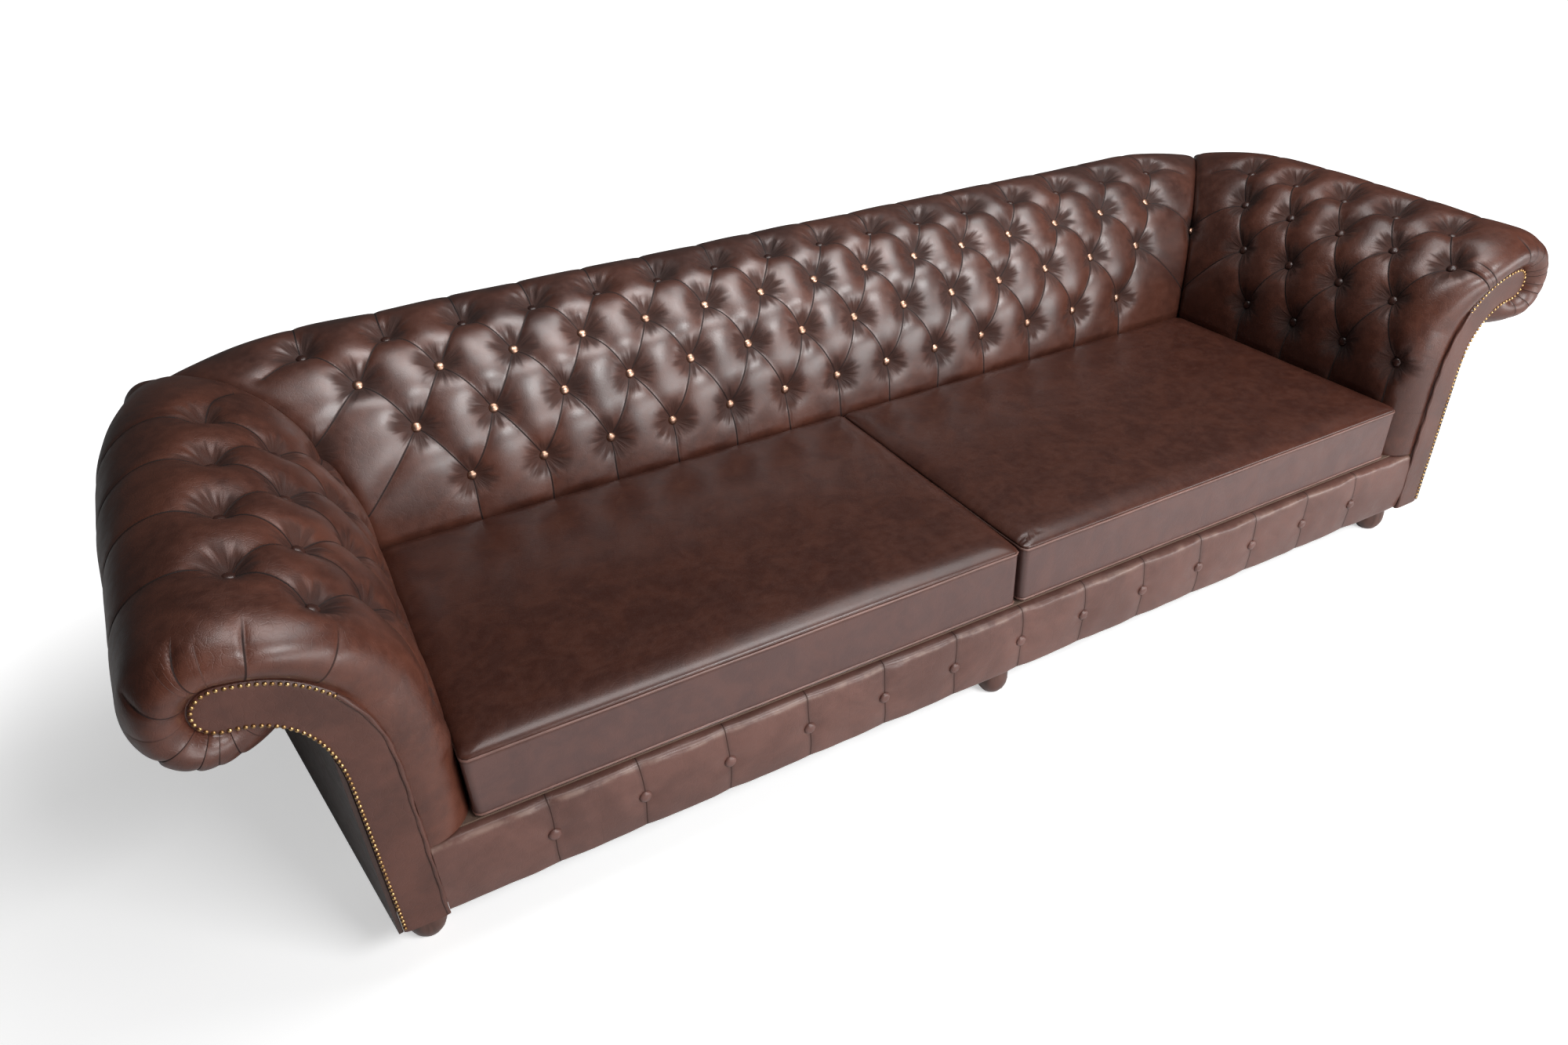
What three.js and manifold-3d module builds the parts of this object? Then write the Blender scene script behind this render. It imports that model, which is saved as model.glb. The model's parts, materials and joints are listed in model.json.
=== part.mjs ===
// A long rolled-arm sofa: button-tufted back and arms of one height, two loose seat cushions,
// scroll-shaped arm facings edged with brass nails, and six turned feet.
// Millimetres, +Z up. The front faces -Y and the seat's centre line is x = 0.
import * as THREE from 'three';
import { mergeVertices } from 'three/addons/utils/BufferGeometryUtils.js';
import Module from 'manifold-3d';

const wasm = await Module();
wasm.setup();

// Driving dimensions
const seatWidth = 2168;
const seatDepth = 690;
const footHeight = 105;
const railHeight = 150;
const cushionThickness = 143;
const gap = 0.3;
const overrun = 40;

// Scroll section, shared by arms and back: u runs outwards from the seat's edge, z up
const scrollHalf = 37.5;
const scrollStart = 430;
const scrollReach = 149;
const scrollRise = 207;
const firstHandleRiseShare = 0.68;
const secondHandleReachShare = 0.45;
const secondHandleRiseShare = 0.966;
const seatPad = 77.5;
const rollPad = 94;
const stemPadEndShare = 0.35;
const capStartAngle = 95;
const capEndAngle = -146;
const capSteps = 6;
const cornerDraw = 42;
const cornerReach = 300;
const cornerSteps = 4;
const curveSteps = 14;
const capOutlineSteps = 8;
const returnShares = [0.8, 0.55, 0.3, 0];

// Buttoning
const backPitch = 138.7;
const endWideningShare = 0.064;
const lastBackColumn = 7.5;
const rightArmPitch = 142.7;
const rightArmStart = 492;
const leftArmPitch = 164.2;
const leftArmStart = 582;
const buttonRowDepth = [43, 131, 196, 256];
const backRowEnds = [6, 6.5, 7, lastBackColumn];
const rightArmRows = [[0, 3], [-0.5, 2.5], [-1, 3], [-1.5, 2.5]];
const leftArmRows = [[0, 3], [-0.5, 2.5], [0, 3], [-0.5, 2.5]];
const tuftDepth = 29;
const tuftSpread = 34;
const seamDepth = 8;
const seamSpread = 15;
const pleatReach = 150;
const frontRound = 75;
const frontRoundShares = [0, 0.08, 0.32, 1];
const frontLip = 2;
const placesPerColumn = 4;

// Frame timber and upholstery layers
const boardThickness = 18;
const ribThickness = 24;
const railThickness = 26;
const railTopDrop = 19;
const battenSize = 44;
const battenInset = 7;
const centreRailWidth = 60;
const blockReach = 110;
const blockHeight = 80;
const facingThickness = 7.5;
const outsideThickness = 8;
const splay = 172;
const deckThickness = 19.4;
const webbingThickness = 2;
const webbingWidth = 70;
const webbingCount = 7;
const crossWebbingCount = 2;
const dustCoverThickness = 1.5;
const dustCoverInset = 6;
const coverThickness = 20;
const coverPuff = 7;
const coverRows = 4;
const railButtonCount = 13;
const railPitch = 162;
const railButtonRadius = 11;
const railButtonHeight = 8;
const railButtonSides = 10;
const railButtonShares = [[0, 0], [0.86, 0], [1, 0.35], [0.6, 0.85], [0, 1]];
const backRibInset = 90;
const armRibBack = 40;

// Nail trim and welt on the facings
const nailTapeWidth = 5;
const nailTapeThickness = 0.9;
const nailInset = 4.6;
const nailPitch = 9.3;
const nailRadius = 3.3;
const nailHeight = 2.4;
const nailSides = 6;
const nailEndShare = 0.52;
const weltRadius = 3.5;
const weltSides = 6;

// Seat cushions
const cushionFront = 17;
const cushionSplit = 1.5;
const cushionSideGap = 1;
const cushionCrown = 11;
const cushionDraw = 7;
const cushionEdge = 16;
const cushionTuck = 5.3;
const cushionCells = [10, 8, 4];

// Turned foot: shares of the widest radius and of the height, from the floor up
const footPlan = 78;
const footBackInset = 62;
const footSides = 16;
const footRadius = 44;
const footNeckShare = 0.66;
const footShares = [
  [0, 0],
  [0.42, 0],
  [0.64, 0.1],
  [0.76, 0.28],
  [0.76, 0.44],
  [footNeckShare, 0.62],
  [0.92, 0.71],
  [1, 0.78],
  [0.94, 0.88],
  [footNeckShare, 0.94],
  [footNeckShare, 1],
  [0, 1],
];

// Heights and planes that follow from them
const half = seatWidth / 2;
const railTop = footHeight + railHeight;
const timberTop = railTop - railTopDrop;
const webbingTop = timberTop + gap + webbingThickness;
const deckTop = webbingTop + gap + deckThickness;
const stemCentre = seatPad + scrollHalf;
const hookCentre = stemCentre + scrollReach;
const hookHeight = scrollStart + scrollRise;
const rollRadius = scrollHalf + rollPad;
const stemInner = half + seatPad;
const stemOuter = half + seatPad + 2 * scrollHalf;
const outerReach = hookCentre + rollRadius;
const boardFront = 2;
const railFront = boardFront + boardThickness + gap;
const railBack = railFront + railThickness;

const leather = { color: 0x4a2a20, roughness: 0.42, metalness: 0 };
const paleLeather = { color: 0x55352a, roughness: 0.5, metalness: 0 };
const beech = { color: 0xb98f5f, roughness: 0.7, metalness: 0 };
const darkWood = { color: 0x2e1712, roughness: 0.35, metalness: 0 };
const brass = { color: 0xb08a4c, roughness: 0.35, metalness: 1 };
const cloth = { color: 0x1c1c1c, roughness: 0.95, metalness: 0 };
const jute = { color: 0x9c8762, roughness: 0.95, metalness: 0 };
const lining = { color: 0x6f594b, roughness: 0.95, metalness: 0 };

const sofa = new THREE.Group();
const radians = THREE.MathUtils.degToRad;

function addPiece(name, geometry, finish) {
  const mesh = new THREE.Mesh(geometry, new THREE.MeshStandardMaterial(finish));
  mesh.name = name;
  sofa.add(mesh);
  return mesh;
}

// Solids from shared vertices, so that pieces can be joined and cut
function toSolid(geometry) {
  const plain = geometry.clone();
  plain.deleteAttribute('normal');
  plain.deleteAttribute('uv');
  const merged = mergeVertices(plain);
  const triVerts = new Uint32Array(merged.index.array);
  const vertProperties = new Float32Array(merged.attributes.position.array);
  return new wasm.Manifold(new wasm.Mesh({ numProp: 3, vertProperties, triVerts }));
}

function toGeometry(solid) {
  const { vertProperties, triVerts } = solid.getMesh();
  const geometry = new THREE.BufferGeometry();
  geometry.setAttribute('position', new THREE.BufferAttribute(vertProperties, 3));
  geometry.setIndex(new THREE.BufferAttribute(triVerts, 1));
  geometry.computeVertexNormals();
  return geometry;
}

// A box between two corners
function boxBetween([x0, y0, z0], [x1, y1, z1]) {
  const box = new THREE.BoxGeometry(x1 - x0, y1 - y0, z1 - z0);
  return box.translate((x0 + x1) / 2, (y0 + y1) / 2, (z0 + z1) / 2);
}

// A solid of constant height over an outline in plan
function planSolid(points, bottom, top, holes = []) {
  const shape = new THREE.Shape(points.map(([x, y]) => new THREE.Vector2(x, y)));
  for (const { x, y, radius } of holes) {
    const hole = new THREE.Path();
    hole.absarc(x, y, radius, 0, 2 * Math.PI);
    shape.holes.push(hole);
  }
  const options = { depth: top - bottom, bevelEnabled: false, curveSegments: footSides / 2 };
  return new THREE.ExtrudeGeometry(shape, options).translate(0, 0, bottom);
}

// A section drawn in u and z, extruded along the arm from one depth to another
function armExtrusion(points, front, back) {
  const shape = new THREE.Shape(points.map(([u, z]) => new THREE.Vector2(half + u, z)));
  const solid = new THREE.ExtrudeGeometry(shape, { depth: back - front, bevelEnabled: false });
  return solid.rotateX(Math.PI / 2).translate(0, back, 0);
}

// The same section turned to run along the back, from one side of it to the other
function backExtrusion(points, left, right) {
  const shape = new THREE.Shape(points.map(([u, z]) => new THREE.Vector2(seatDepth + u, z)));
  const solid = new THREE.ExtrudeGeometry(shape, { depth: right - left, bevelEnabled: false });
  return solid.rotateX(Math.PI / 2).rotateZ(Math.PI / 2).translate(left, 0, 0);
}

function mirrored(geometry) {
  const copy = geometry.clone().scale(-1, 1, 1);
  const index = copy.index ? copy.index.array : [...Array(copy.attributes.position.count).keys()];
  const turned = [];
  for (let i = 0; i < index.length; i += 3) {
    turned.push(index[i], index[i + 2], index[i + 1]);
  }
  copy.setIndex(turned);
  return copy;
}

function addPair(name, geometry, finish) {
  addPiece(`right_${name}`, geometry, finish);
  addPiece(`left_${name}`, mirrored(geometry), finish);
}

// Scroll: the middle line of the section rises straight, then bends outwards into the hook
const hookCurve = new THREE.CubicBezierCurve(
  new THREE.Vector2(stemCentre, scrollStart),
  new THREE.Vector2(stemCentre, scrollStart + firstHandleRiseShare * scrollRise),
  new THREE.Vector2(
    stemCentre + secondHandleReachShare * scrollReach,
    scrollStart + secondHandleRiseShare * scrollRise,
  ),
  new THREE.Vector2(hookCentre, hookHeight),
);
const hookLength = hookCurve.getLength();

// A point at a distance along the middle line, moved sideways (positive is the seat side)
function besideSpine(distance, offset) {
  if (distance <= 0) return [stemCentre - offset, scrollStart + distance];
  const share = Math.min(distance / hookLength, 1);
  const point = hookCurve.getPointAt(share);
  const tangent = hookCurve.getTangentAt(share);
  return [point.x - tangent.y * offset, point.y + tangent.x * offset];
}

function aroundHook(angle, radius) {
  return [hookCentre + radius * Math.cos(angle), hookHeight + radius * Math.sin(angle)];
}

function scrollOutline(halfWidth, bottom) {
  const points = [[stemCentre - halfWidth, bottom]];
  for (let i = 0; i <= curveSteps; i += 1) {
    points.push(besideSpine((i / curveSteps) * hookLength, halfWidth));
  }
  const tangent = hookCurve.getTangentAt(1);
  const start = Math.atan2(tangent.x, -tangent.y);
  for (let i = 1; i < capOutlineSteps; i += 1) {
    points.push(aroundHook(start - (i / capOutlineSteps) * Math.PI, halfWidth));
  }
  for (let i = curveSteps; i >= 0; i -= 1) {
    points.push(besideSpine((i / curveSteps) * hookLength, -halfWidth));
  }
  points.push([stemCentre + halfWidth, bottom]);
  return points.reverse();
}

// Buttons and the seams between them, on the unrolled pad: [across, along the section]
function tuftPlan(rows, place) {
  const buttons = rows.flatMap(({ from, to, depth }, row) => {
    const list = [];
    for (let column = from; column <= to; column += 1) {
      list.push({ row, column, across: place(column), along: depth });
    }
    return list;
  });
  const seams = [];
  for (const a of buttons) {
    for (const b of buttons) {
      const neighbours = b.row === a.row + 1 && Math.abs(a.column - b.column) < 1;
      if (neighbours) seams.push([a, b]);
    }
    if (a.row === 0) seams.push([a, { across: a.across, along: a.along - pleatReach }]);
    if (a.row === rows.length - 1) {
      seams.push([a, { across: a.across, along: a.along + pleatReach }]);
    }
  }
  return { buttons, seams };
}

function distanceToSeam(across, along, [a, b]) {
  const dx = b.across - a.across;
  const dy = b.along - a.along;
  const share = ((across - a.across) * dx + (along - a.along) * dy) / (dx * dx + dy * dy);
  const held = THREE.MathUtils.clamp(share, 0, 1);
  return Math.hypot(across - a.across - held * dx, along - a.along - held * dy);
}

function sinkAt(across, along, { buttons, seams }) {
  const toButton = Math.min(...buttons.map((b) => Math.hypot(across - b.across, along - b.along)));
  const toSeam = Math.min(...seams.map((seam) => distanceToSeam(across, along, seam)));
  const dimple = tuftDepth * Math.exp(-((toButton / tuftSpread) ** 2));
  return Math.max(dimple, seamDepth * Math.exp(-((toSeam / seamSpread) ** 2)));
}

// The distances along the section at which the pad's surface has a row of points
function padRows() {
  const rows = [deckTop + gap - scrollStart, seatTopLine() - scrollStart];
  buttonRowDepth.forEach((depth, i) => {
    if (i > 0) rows.push((buttonRowDepth[i - 1] + depth) / 2);
    rows.push(depth);
  });
  return rows;
}

function seatTopLine() {
  return deckTop + cushionThickness;
}

// The rolls draw in towards the mitre, so that the outer corner in plan is round
function drawNear(toCorner) {
  return cornerDraw * THREE.MathUtils.clamp(1 - toCorner / cornerReach, 0, 1) ** 2;
}

// One ring of the pad: round its outside, then back down inside the scroll
function padRing(across, plan, fullness, draw) {
  const thin = scrollHalf + frontLip;
  const ring = padRows().map((along) => {
    const share = THREE.MathUtils.clamp(along / hookLength, 0, 1);
    const eased = THREE.MathUtils.smoothstep(share, stemPadEndShare, 1);
    const full = scrollHalf + THREE.MathUtils.lerp(seatPad, rollPad - draw, eased);
    const offset = thin + (full - thin) * fullness;
    return besideSpine(along, offset - fullness * sinkAt(across, along, plan));
  });
  for (let i = 0; i <= capSteps; i += 1) {
    const angle = THREE.MathUtils.lerp(radians(capStartAngle), radians(capEndAngle), i / capSteps);
    const along = hookLength + (radians(capStartAngle) - angle) * rollRadius;
    const radius = thin + (rollRadius - draw - thin) * fullness;
    ring.push(aroundHook(angle, radius - fullness * sinkAt(across, along, plan)));
  }
  for (const share of returnShares) {
    ring.push(besideSpine(share * hookLength, 0));
  }
  ring.push([stemCentre, deckTop + gap]);
  return ring;
}

// Places along a pad past its tufted part, out to the mitre and beyond
function cornerPlaces(seatEdge) {
  const places = [];
  for (let i = 0; i <= cornerSteps; i += 1) {
    places.push(seatEdge + THREE.MathUtils.lerp(stemCentre, outerReach, i / cornerSteps));
  }
  places.push(seatEdge + outerReach + overrun);
  return places;
}

// Joins rings of equal count into a closed solid, with flat ends
function loft(rings, toPoint) {
  const positions = rings.flatMap((ring, i) => ring.flatMap((point) => toPoint(point, i)));
  const count = rings[0].length;
  const index = [];
  for (let i = 0; i < rings.length - 1; i += 1) {
    for (let j = 0; j < count; j += 1) {
      const a = i * count + j;
      const b = i * count + ((j + 1) % count);
      index.push(a, b, b + count, a, b + count, a + count);
    }
  }
  const endCap = (ring, base, flipped) => {
    const outline = ring.map(([u, z]) => new THREE.Vector2(u, z));
    for (const [a, b, c] of THREE.ShapeUtils.triangulateShape(outline, [])) {
      index.push(...(flipped ? [base + a, base + c, base + b] : [base + a, base + b, base + c]));
    }
  };
  endCap(rings[0], 0, false);
  endCap(rings[rings.length - 1], (rings.length - 1) * count, true);
  const geometry = new THREE.BufferGeometry();
  geometry.setAttribute('position', new THREE.Float32BufferAttribute(positions, 3));
  geometry.setIndex(index);
  return geometry;
}

function outward(geometry) {
  const { index, attributes } = geometry;
  const corners = [0, 1, 2].map(() => new THREE.Vector3());
  let volume = 0;
  for (let i = 0; i < index.count; i += 3) {
    corners.forEach((v, k) => v.fromBufferAttribute(attributes.position, index.getX(i + k)));
    volume += corners[0].dot(corners[1].clone().cross(corners[2]));
  }
  return volume < 0 ? geometry.setIndex([...index.array].reverse()) : geometry;
}

// A block that covers everything past the mitre between an arm and the back
function mitreBlock(beyondBack) {
  const side = beyondBack ? -gap / 2 : gap / 2;
  const near = -seatDepth / 2;
  const far = outerReach + 2 * overrun;
  const line = (u) => [half + u, seatDepth + u + side];
  const corner = beyondBack
    ? [half + near, seatDepth + far]
    : [half + far, seatDepth + near];
  return planSolid([line(near), line(far), corner], -overrun, hookHeight + rollRadius + overrun);
}

// Tufted arm pads, cut back from the scroll-shaped core and from the mitre
function armPad(rowEnds, start, pitch) {
  const rows = rowEnds.map(([from, to], i) => ({ from, to, depth: buttonRowDepth[i] }));
  const plan = tuftPlan(rows, (column) => start - column * pitch);
  const depths = frontRoundShares.map((share) => share * frontRound);
  const step = pitch / placesPerColumn;
  const tuftedEnd = seatDepth + buttonRowDepth[0];
  const lastColumn = rowEnds[0][1];
  for (let y = start - lastColumn * pitch; y < tuftedEnd; y += step) {
    if (y > frontRound + step / 4) depths.push(y);
  }
  depths.push(...cornerPlaces(seatDepth));
  const rings = depths.map((y) => {
    const share = THREE.MathUtils.clamp(y / frontRound, 0, 1);
    const draw = drawNear(seatDepth + hookCentre - y);
    return padRing(y, plan, Math.sqrt(1 - (1 - share) ** 2), draw);
  });
  const sweep = outward(loft(rings, ([u, z], i) => [half + u, depths[i], z]));
  const core = armExtrusion(scrollOutline(scrollHalf, footHeight), -overrun, 2 * seatDepth);
  const solid = toSolid(sweep).subtract(toSolid(core)).subtract(toSolid(mitreBlock(true)));
  return toGeometry(solid);
}

function backPlace(column) {
  return column * backPitch * (1 + endWideningShare * (column / lastBackColumn) ** 2);
}

function backPad() {
  const rows = backRowEnds.map((end, i) => ({ from: -end, to: end, depth: buttonRowDepth[i] }));
  const plan = tuftPlan(rows, backPlace);
  const places = [];
  const lastPlace = placesPerColumn * lastBackColumn + 1;
  for (let i = -lastPlace; i <= lastPlace; i += 1) {
    places.push(backPlace(i / placesPerColumn));
  }
  const far = half + outerReach + overrun;
  const corner = cornerPlaces(half);
  const across = [...corner.map((x) => -x).reverse(), ...places, ...corner];
  const rings = across.map((x) => padRing(x, plan, 1, drawNear(half + hookCentre - Math.abs(x))));
  const sweep = outward(loft(rings, ([u, z], i) => [across[i], seatDepth + u, z]));
  const core = backExtrusion(scrollOutline(scrollHalf, footHeight), -far, far);
  const mitre = mitreBlock(false);
  const solid = toSolid(sweep)
    .subtract(toSolid(core))
    .subtract(toSolid(mitre))
    .subtract(toSolid(mirrored(mitre)));
  return toGeometry(solid);
}

// Timber frame
const timberBottom = footHeight + gap;
const coreHalf = scrollHalf - gap;
const outsideStart = stemOuter + gap;
const outsideSpan = seatDepth + outerReach - rollRadius + scrollHalf;
const splaySlope = splay / outsideSpan;
const outsideBack = boardFront + outsideSpan;
const outsideInnerX = (y) => outsideStart + (y - boardFront) * splaySlope;
const outerRailX = (y) => outsideInnerX(y) - gap;
const outerRailInnerX = (y) => outerRailX(y) - railThickness;
const backStemFront = seatDepth + seatPad;
const backStemBack = backStemFront + 2 * scrollHalf;
const bottomRailFront = outsideBack - outsideThickness - gap - railThickness;
const bottomRailBack = bottomRailFront + railThickness;

function addSeatFrame() {
  const low = timberBottom;
  const high = timberTop;
  addPiece('front_seat_rail',
    boxBetween([-stemOuter, railFront, low], [stemOuter, railBack, high]), beech);
  const backHalf = outerRailInnerX(backStemFront) - gap;
  addPiece('back_seat_rail',
    boxBetween([-backHalf, backStemFront, low], [backHalf, backStemBack, high]), beech);
  const bottomHalf = outerRailX(bottomRailFront);
  addPiece('back_bottom_rail',
    boxBetween([-bottomHalf, bottomRailFront, low], [bottomHalf, bottomRailBack, high]), beech);
  addPair('seat_side_rail',
    boxBetween([stemInner, railBack + gap, low], [stemOuter - gap, backStemFront - gap, high]),
    beech);
  const near = railBack + gap;
  const far = bottomRailFront - gap;
  const clearOfSide = Math.max(near, boardFront + (railThickness + 2 * gap) / splaySlope);
  const outer = [
    [stemOuter, near],
    [outerRailX(near), near],
    [outerRailX(far), far],
    [outerRailInnerX(far), far],
    [stemOuter, clearOfSide],
  ];
  addPair('outer_rail', planSolid(outer, low, high), beech);
  const centre = centreRailWidth / 2;
  addPiece('centre_rail_front',
    boxBetween([-centre, railBack + gap, low], [centre, backStemFront - gap, high]), beech);
  addPiece('centre_rail_rear',
    boxBetween([-centre, backStemBack + gap, low], [centre, bottomRailFront - gap, high]), beech);
}

function addCornerBlocks() {
  const top = timberBottom + blockHeight;
  const x = stemInner - gap;
  const y = railBack + gap;
  const front = [[x, y], [x, y + blockReach], [x - blockReach, y]];
  addPair('front_corner_block', planSolid(front, timberBottom, top), beech);
  const rear = bottomRailFront - gap;
  const sideX = (depth) => outerRailInnerX(depth) - gap;
  const back = [[sideX(rear), rear], [sideX(rear) - blockReach, rear],
    [sideX(rear) - blockReach, rear - blockReach / 2],
    [sideX(rear - blockReach), rear - blockReach]];
  addPair('back_corner_block', planSolid(back, timberBottom, top), beech);
}

// Scroll-shaped boards stand at the ends and carry the battens inside the rolls
const battenLeft = hookCentre - battenInset - battenSize / 2;
const battenRight = battenLeft + battenSize;
const battenBottom = hookHeight - battenSize / 2;
const battenTop = battenBottom + battenSize;

function addScrollBoards() {
  const slotTop = hookHeight + scrollHalf + overrun;
  const boardOutline = scrollOutline(coreHalf, timberBottom);
  const ribOutline = scrollOutline(coreHalf, timberTop + gap);
  const boardBack = boardFront + boardThickness;
  addPair('arm_front_board', armExtrusion(boardOutline, boardFront, boardBack), beech);
  const ribBack = backStemFront - armRibBack;
  const ribFront = ribBack - ribThickness;
  const armSlot = boxBetween(
    [half + battenLeft - gap, ribFront - overrun, battenBottom - gap],
    [half + battenRight + gap, ribBack + overrun, slotTop],
  );
  const armRib = toSolid(armExtrusion(ribOutline, ribFront, ribBack)).subtract(toSolid(armSlot));
  addPair('arm_rear_rib', toGeometry(armRib), beech);
  const backBattenFront = seatDepth + battenLeft;
  const backBattenBack = seatDepth + battenRight;
  addPair('arm_top_rail', boxBetween(
    [half + battenLeft, boardBack + gap, battenBottom],
    [half + battenRight, backBattenFront - gap, battenTop],
  ), beech);
  addPiece('back_top_rail', boxBetween(
    [-half - battenRight, backBattenFront, battenBottom],
    [half + battenRight, backBattenBack, battenTop],
  ), beech);
  const ribPlace = half - backRibInset;
  const ribs = { left: -ribPlace, centre: 0, right: ribPlace };
  for (const [side, x] of Object.entries(ribs)) {
    const left = x - ribThickness / 2;
    const slot = boxBetween(
      [left - overrun, backBattenFront - gap, battenBottom - gap],
      [left + ribThickness + overrun, backBattenBack + gap, slotTop],
    );
    const rib = toSolid(backExtrusion(ribOutline, left, left + ribThickness));
    addPiece(`${side}_back_rib`, toGeometry(rib.subtract(toSolid(slot))), beech);
  }
}

// Seat suspension, deck and underside
function addSeatDeck() {
  const bottom = timberTop + gap;
  const reach = half - webbingWidth;
  const start = railFront;
  const end = backStemFront - gap;
  let web = null;
  for (let i = 0; i < webbingCount; i += 1) {
    const x = -reach + (i / (webbingCount - 1)) * 2 * reach;
    const strap = toSolid(boxBetween(
      [x - webbingWidth / 2, start, bottom], [x + webbingWidth / 2, end, webbingTop]));
    web = web ? web.add(strap) : strap;
  }
  for (let i = 1; i <= crossWebbingCount; i += 1) {
    const y = start + (i / (crossWebbingCount + 1)) * (end - start);
    web = web.add(toSolid(boxBetween(
      [-stemOuter + gap, y - webbingWidth / 2, bottom],
      [stemOuter - gap, y + webbingWidth / 2, webbingTop])));
  }
  addPiece('seat_webbing', toGeometry(web), jute);
  addPiece('deck_pad', boxBetween(
    [-stemInner + gap, railFront, webbingTop + gap], [stemInner - gap, end, deckTop]), lining);
}

const backFootY = bottomRailFront - footBackInset / 2;
const backFootX = outerRailInnerX(backFootY) - footBackInset / 2;
const footPlaces = {
  front_left: [-half - stemCentre, footPlan],
  front_centre: [0, footPlan],
  front_right: [half + stemCentre, footPlan],
  back_left: [-backFootX, backFootY],
  back_centre: [0, backFootY],
  back_right: [backFootX, backFootY],
};

function addDustCover() {
  const near = railFront + dustCoverInset;
  const far = bottomRailBack - dustCoverInset;
  const x = (y) => outerRailX(y) - dustCoverInset;
  const outline = [[-x(near), near], [x(near), near], [x(far), far], [-x(far), far]];
  const holes = Object.values(footPlaces)
    .map(([fx, fy]) => ({ x: fx, y: fy, radius: footNeckShare * footRadius + 2 * gap }));
  const cover = planSolid(outline, footHeight - dustCoverThickness, footHeight, holes);
  addPiece('dust_cover', cover, cloth);
}

function addFeet() {
  const profile = footShares.map(([radiusShare, heightShare]) => (
    new THREE.Vector2(radiusShare * footRadius, heightShare * footHeight)
  ));
  for (const [place, [x, y]] of Object.entries(footPlaces)) {
    const foot = new THREE.LatheGeometry(profile, footSides).rotateX(Math.PI / 2);
    addPiece(`${place}_foot`, foot, darkWood).position.set(x, y, 0);
  }
}

// Padded cover of the front rail, with a covered button in each dimple
const coverBack = railFront - gap;
const coverFront = coverBack - coverThickness;

function addRailCover() {
  const cells = 2 * (railButtonCount + 1);
  const cover = new THREE.BoxGeometry(1, 1, 1, cells, 1, coverRows);
  const { position } = cover.attributes;
  const reach = stemInner - gap;
  const middle = (railButtonCount - 1) / 2;
  for (let i = 0; i < position.count; i += 1) {
    const cell = Math.round(position.getX(i) * cells);
    const column = cell / 2;
    const pastLast = Math.abs(column) - middle;
    const edge = Math.sign(column) * THREE.MathUtils.lerp(middle * railPitch, reach, pastLast);
    const x = pastLast > 0 ? edge : column * railPitch;
    const rise = 2 * position.getZ(i);
    const atButton = pastLast <= 0 && cell % 2 === 0;
    const swell = atButton ? 0 : coverPuff * (1 - rise ** 2);
    const y = position.getY(i) < 0 ? coverFront - swell : coverBack;
    position.setXYZ(i, x, y, footHeight + railHeight / 2 + position.getZ(i) * railHeight);
  }
  addPiece('front_rail_cover', toGeometry(toSolid(cover)), paleLeather);
}

function addRailButtons() {
  const profile = railButtonShares.map(([radiusShare, heightShare]) => (
    new THREE.Vector2(radiusShare * railButtonRadius, heightShare * railButtonHeight)
  ));
  const middle = (railButtonCount - 1) / 2;
  const seat = coverFront - gap - (coverPuff * railButtonRadius) / (railPitch / 2);
  for (let i = 0; i < railButtonCount; i += 1) {
    const button = new THREE.LatheGeometry(profile, railButtonSides).rotateX(Math.PI);
    const name = `rail_button_${String(i + 1).padStart(2, '0')}`;
    addPiece(name, button, paleLeather)
      .position.set((i - middle) * railPitch, seat, footHeight + railHeight / 2);
  }
}

// Arm facings with a welt on the seat side, and a strip of domed nails round the rest
const facingFront = boardFront - gap - facingThickness;

function edgePath(inset) {
  const points = [];
  const steps = 4 * curveSteps;
  const stem = scrollStart - footHeight;
  const offset = scrollHalf - inset;
  const tangent = hookCurve.getTangentAt(1);
  const capStart = Math.atan2(-tangent.x, tangent.y);
  points.push(besideSpine(-stem + inset, -offset), besideSpine(-stem / 2, -offset));
  for (let i = 0; i <= steps; i += 1) {
    points.push(besideSpine((i / steps) * hookLength, -offset));
  }
  for (let i = 1; i < steps; i += 1) {
    points.push(aroundHook(capStart + (i / steps) * Math.PI, offset));
  }
  for (let i = steps; i >= steps * nailEndShare; i -= 1) {
    points.push(besideSpine((i / steps) * hookLength, offset));
  }
  return points;
}

function pathCurve(points, depth) {
  const curve = new THREE.CurvePath();
  const at = ([u, z]) => new THREE.Vector3(half + u, depth, z);
  for (let i = 1; i < points.length; i += 1) {
    curve.add(new THREE.LineCurve3(at(points[i - 1]), at(points[i])));
  }
  return curve;
}

function addFacings() {
  const outline = scrollOutline(coreHalf, footHeight);
  const facing = toSolid(armExtrusion(outline, facingFront, boardFront - gap));
  const count = 2 * curveSteps;
  const low = footHeight + weltRadius - scrollStart;
  const high = nailEndShare * hookLength;
  const path = [];
  for (let i = 0; i <= count; i += 1) {
    const along = THREE.MathUtils.lerp(low, high, i / count);
    const [u, z] = besideSpine(along, coreHalf - weltRadius);
    path.push(new THREE.Vector3(half + u, facingFront, z));
  }
  const section = new THREE.Shape().absarc(0, 0, weltRadius, 0, 2 * Math.PI);
  const welt = new THREE.ExtrudeGeometry(section, {
    steps: curveSteps,
    curveSegments: weltSides / 2,
    extrudePath: new THREE.CatmullRomCurve3(path),
  });
  addPair('arm_facing', toGeometry(facing.add(toSolid(welt))), leather);
}

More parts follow.
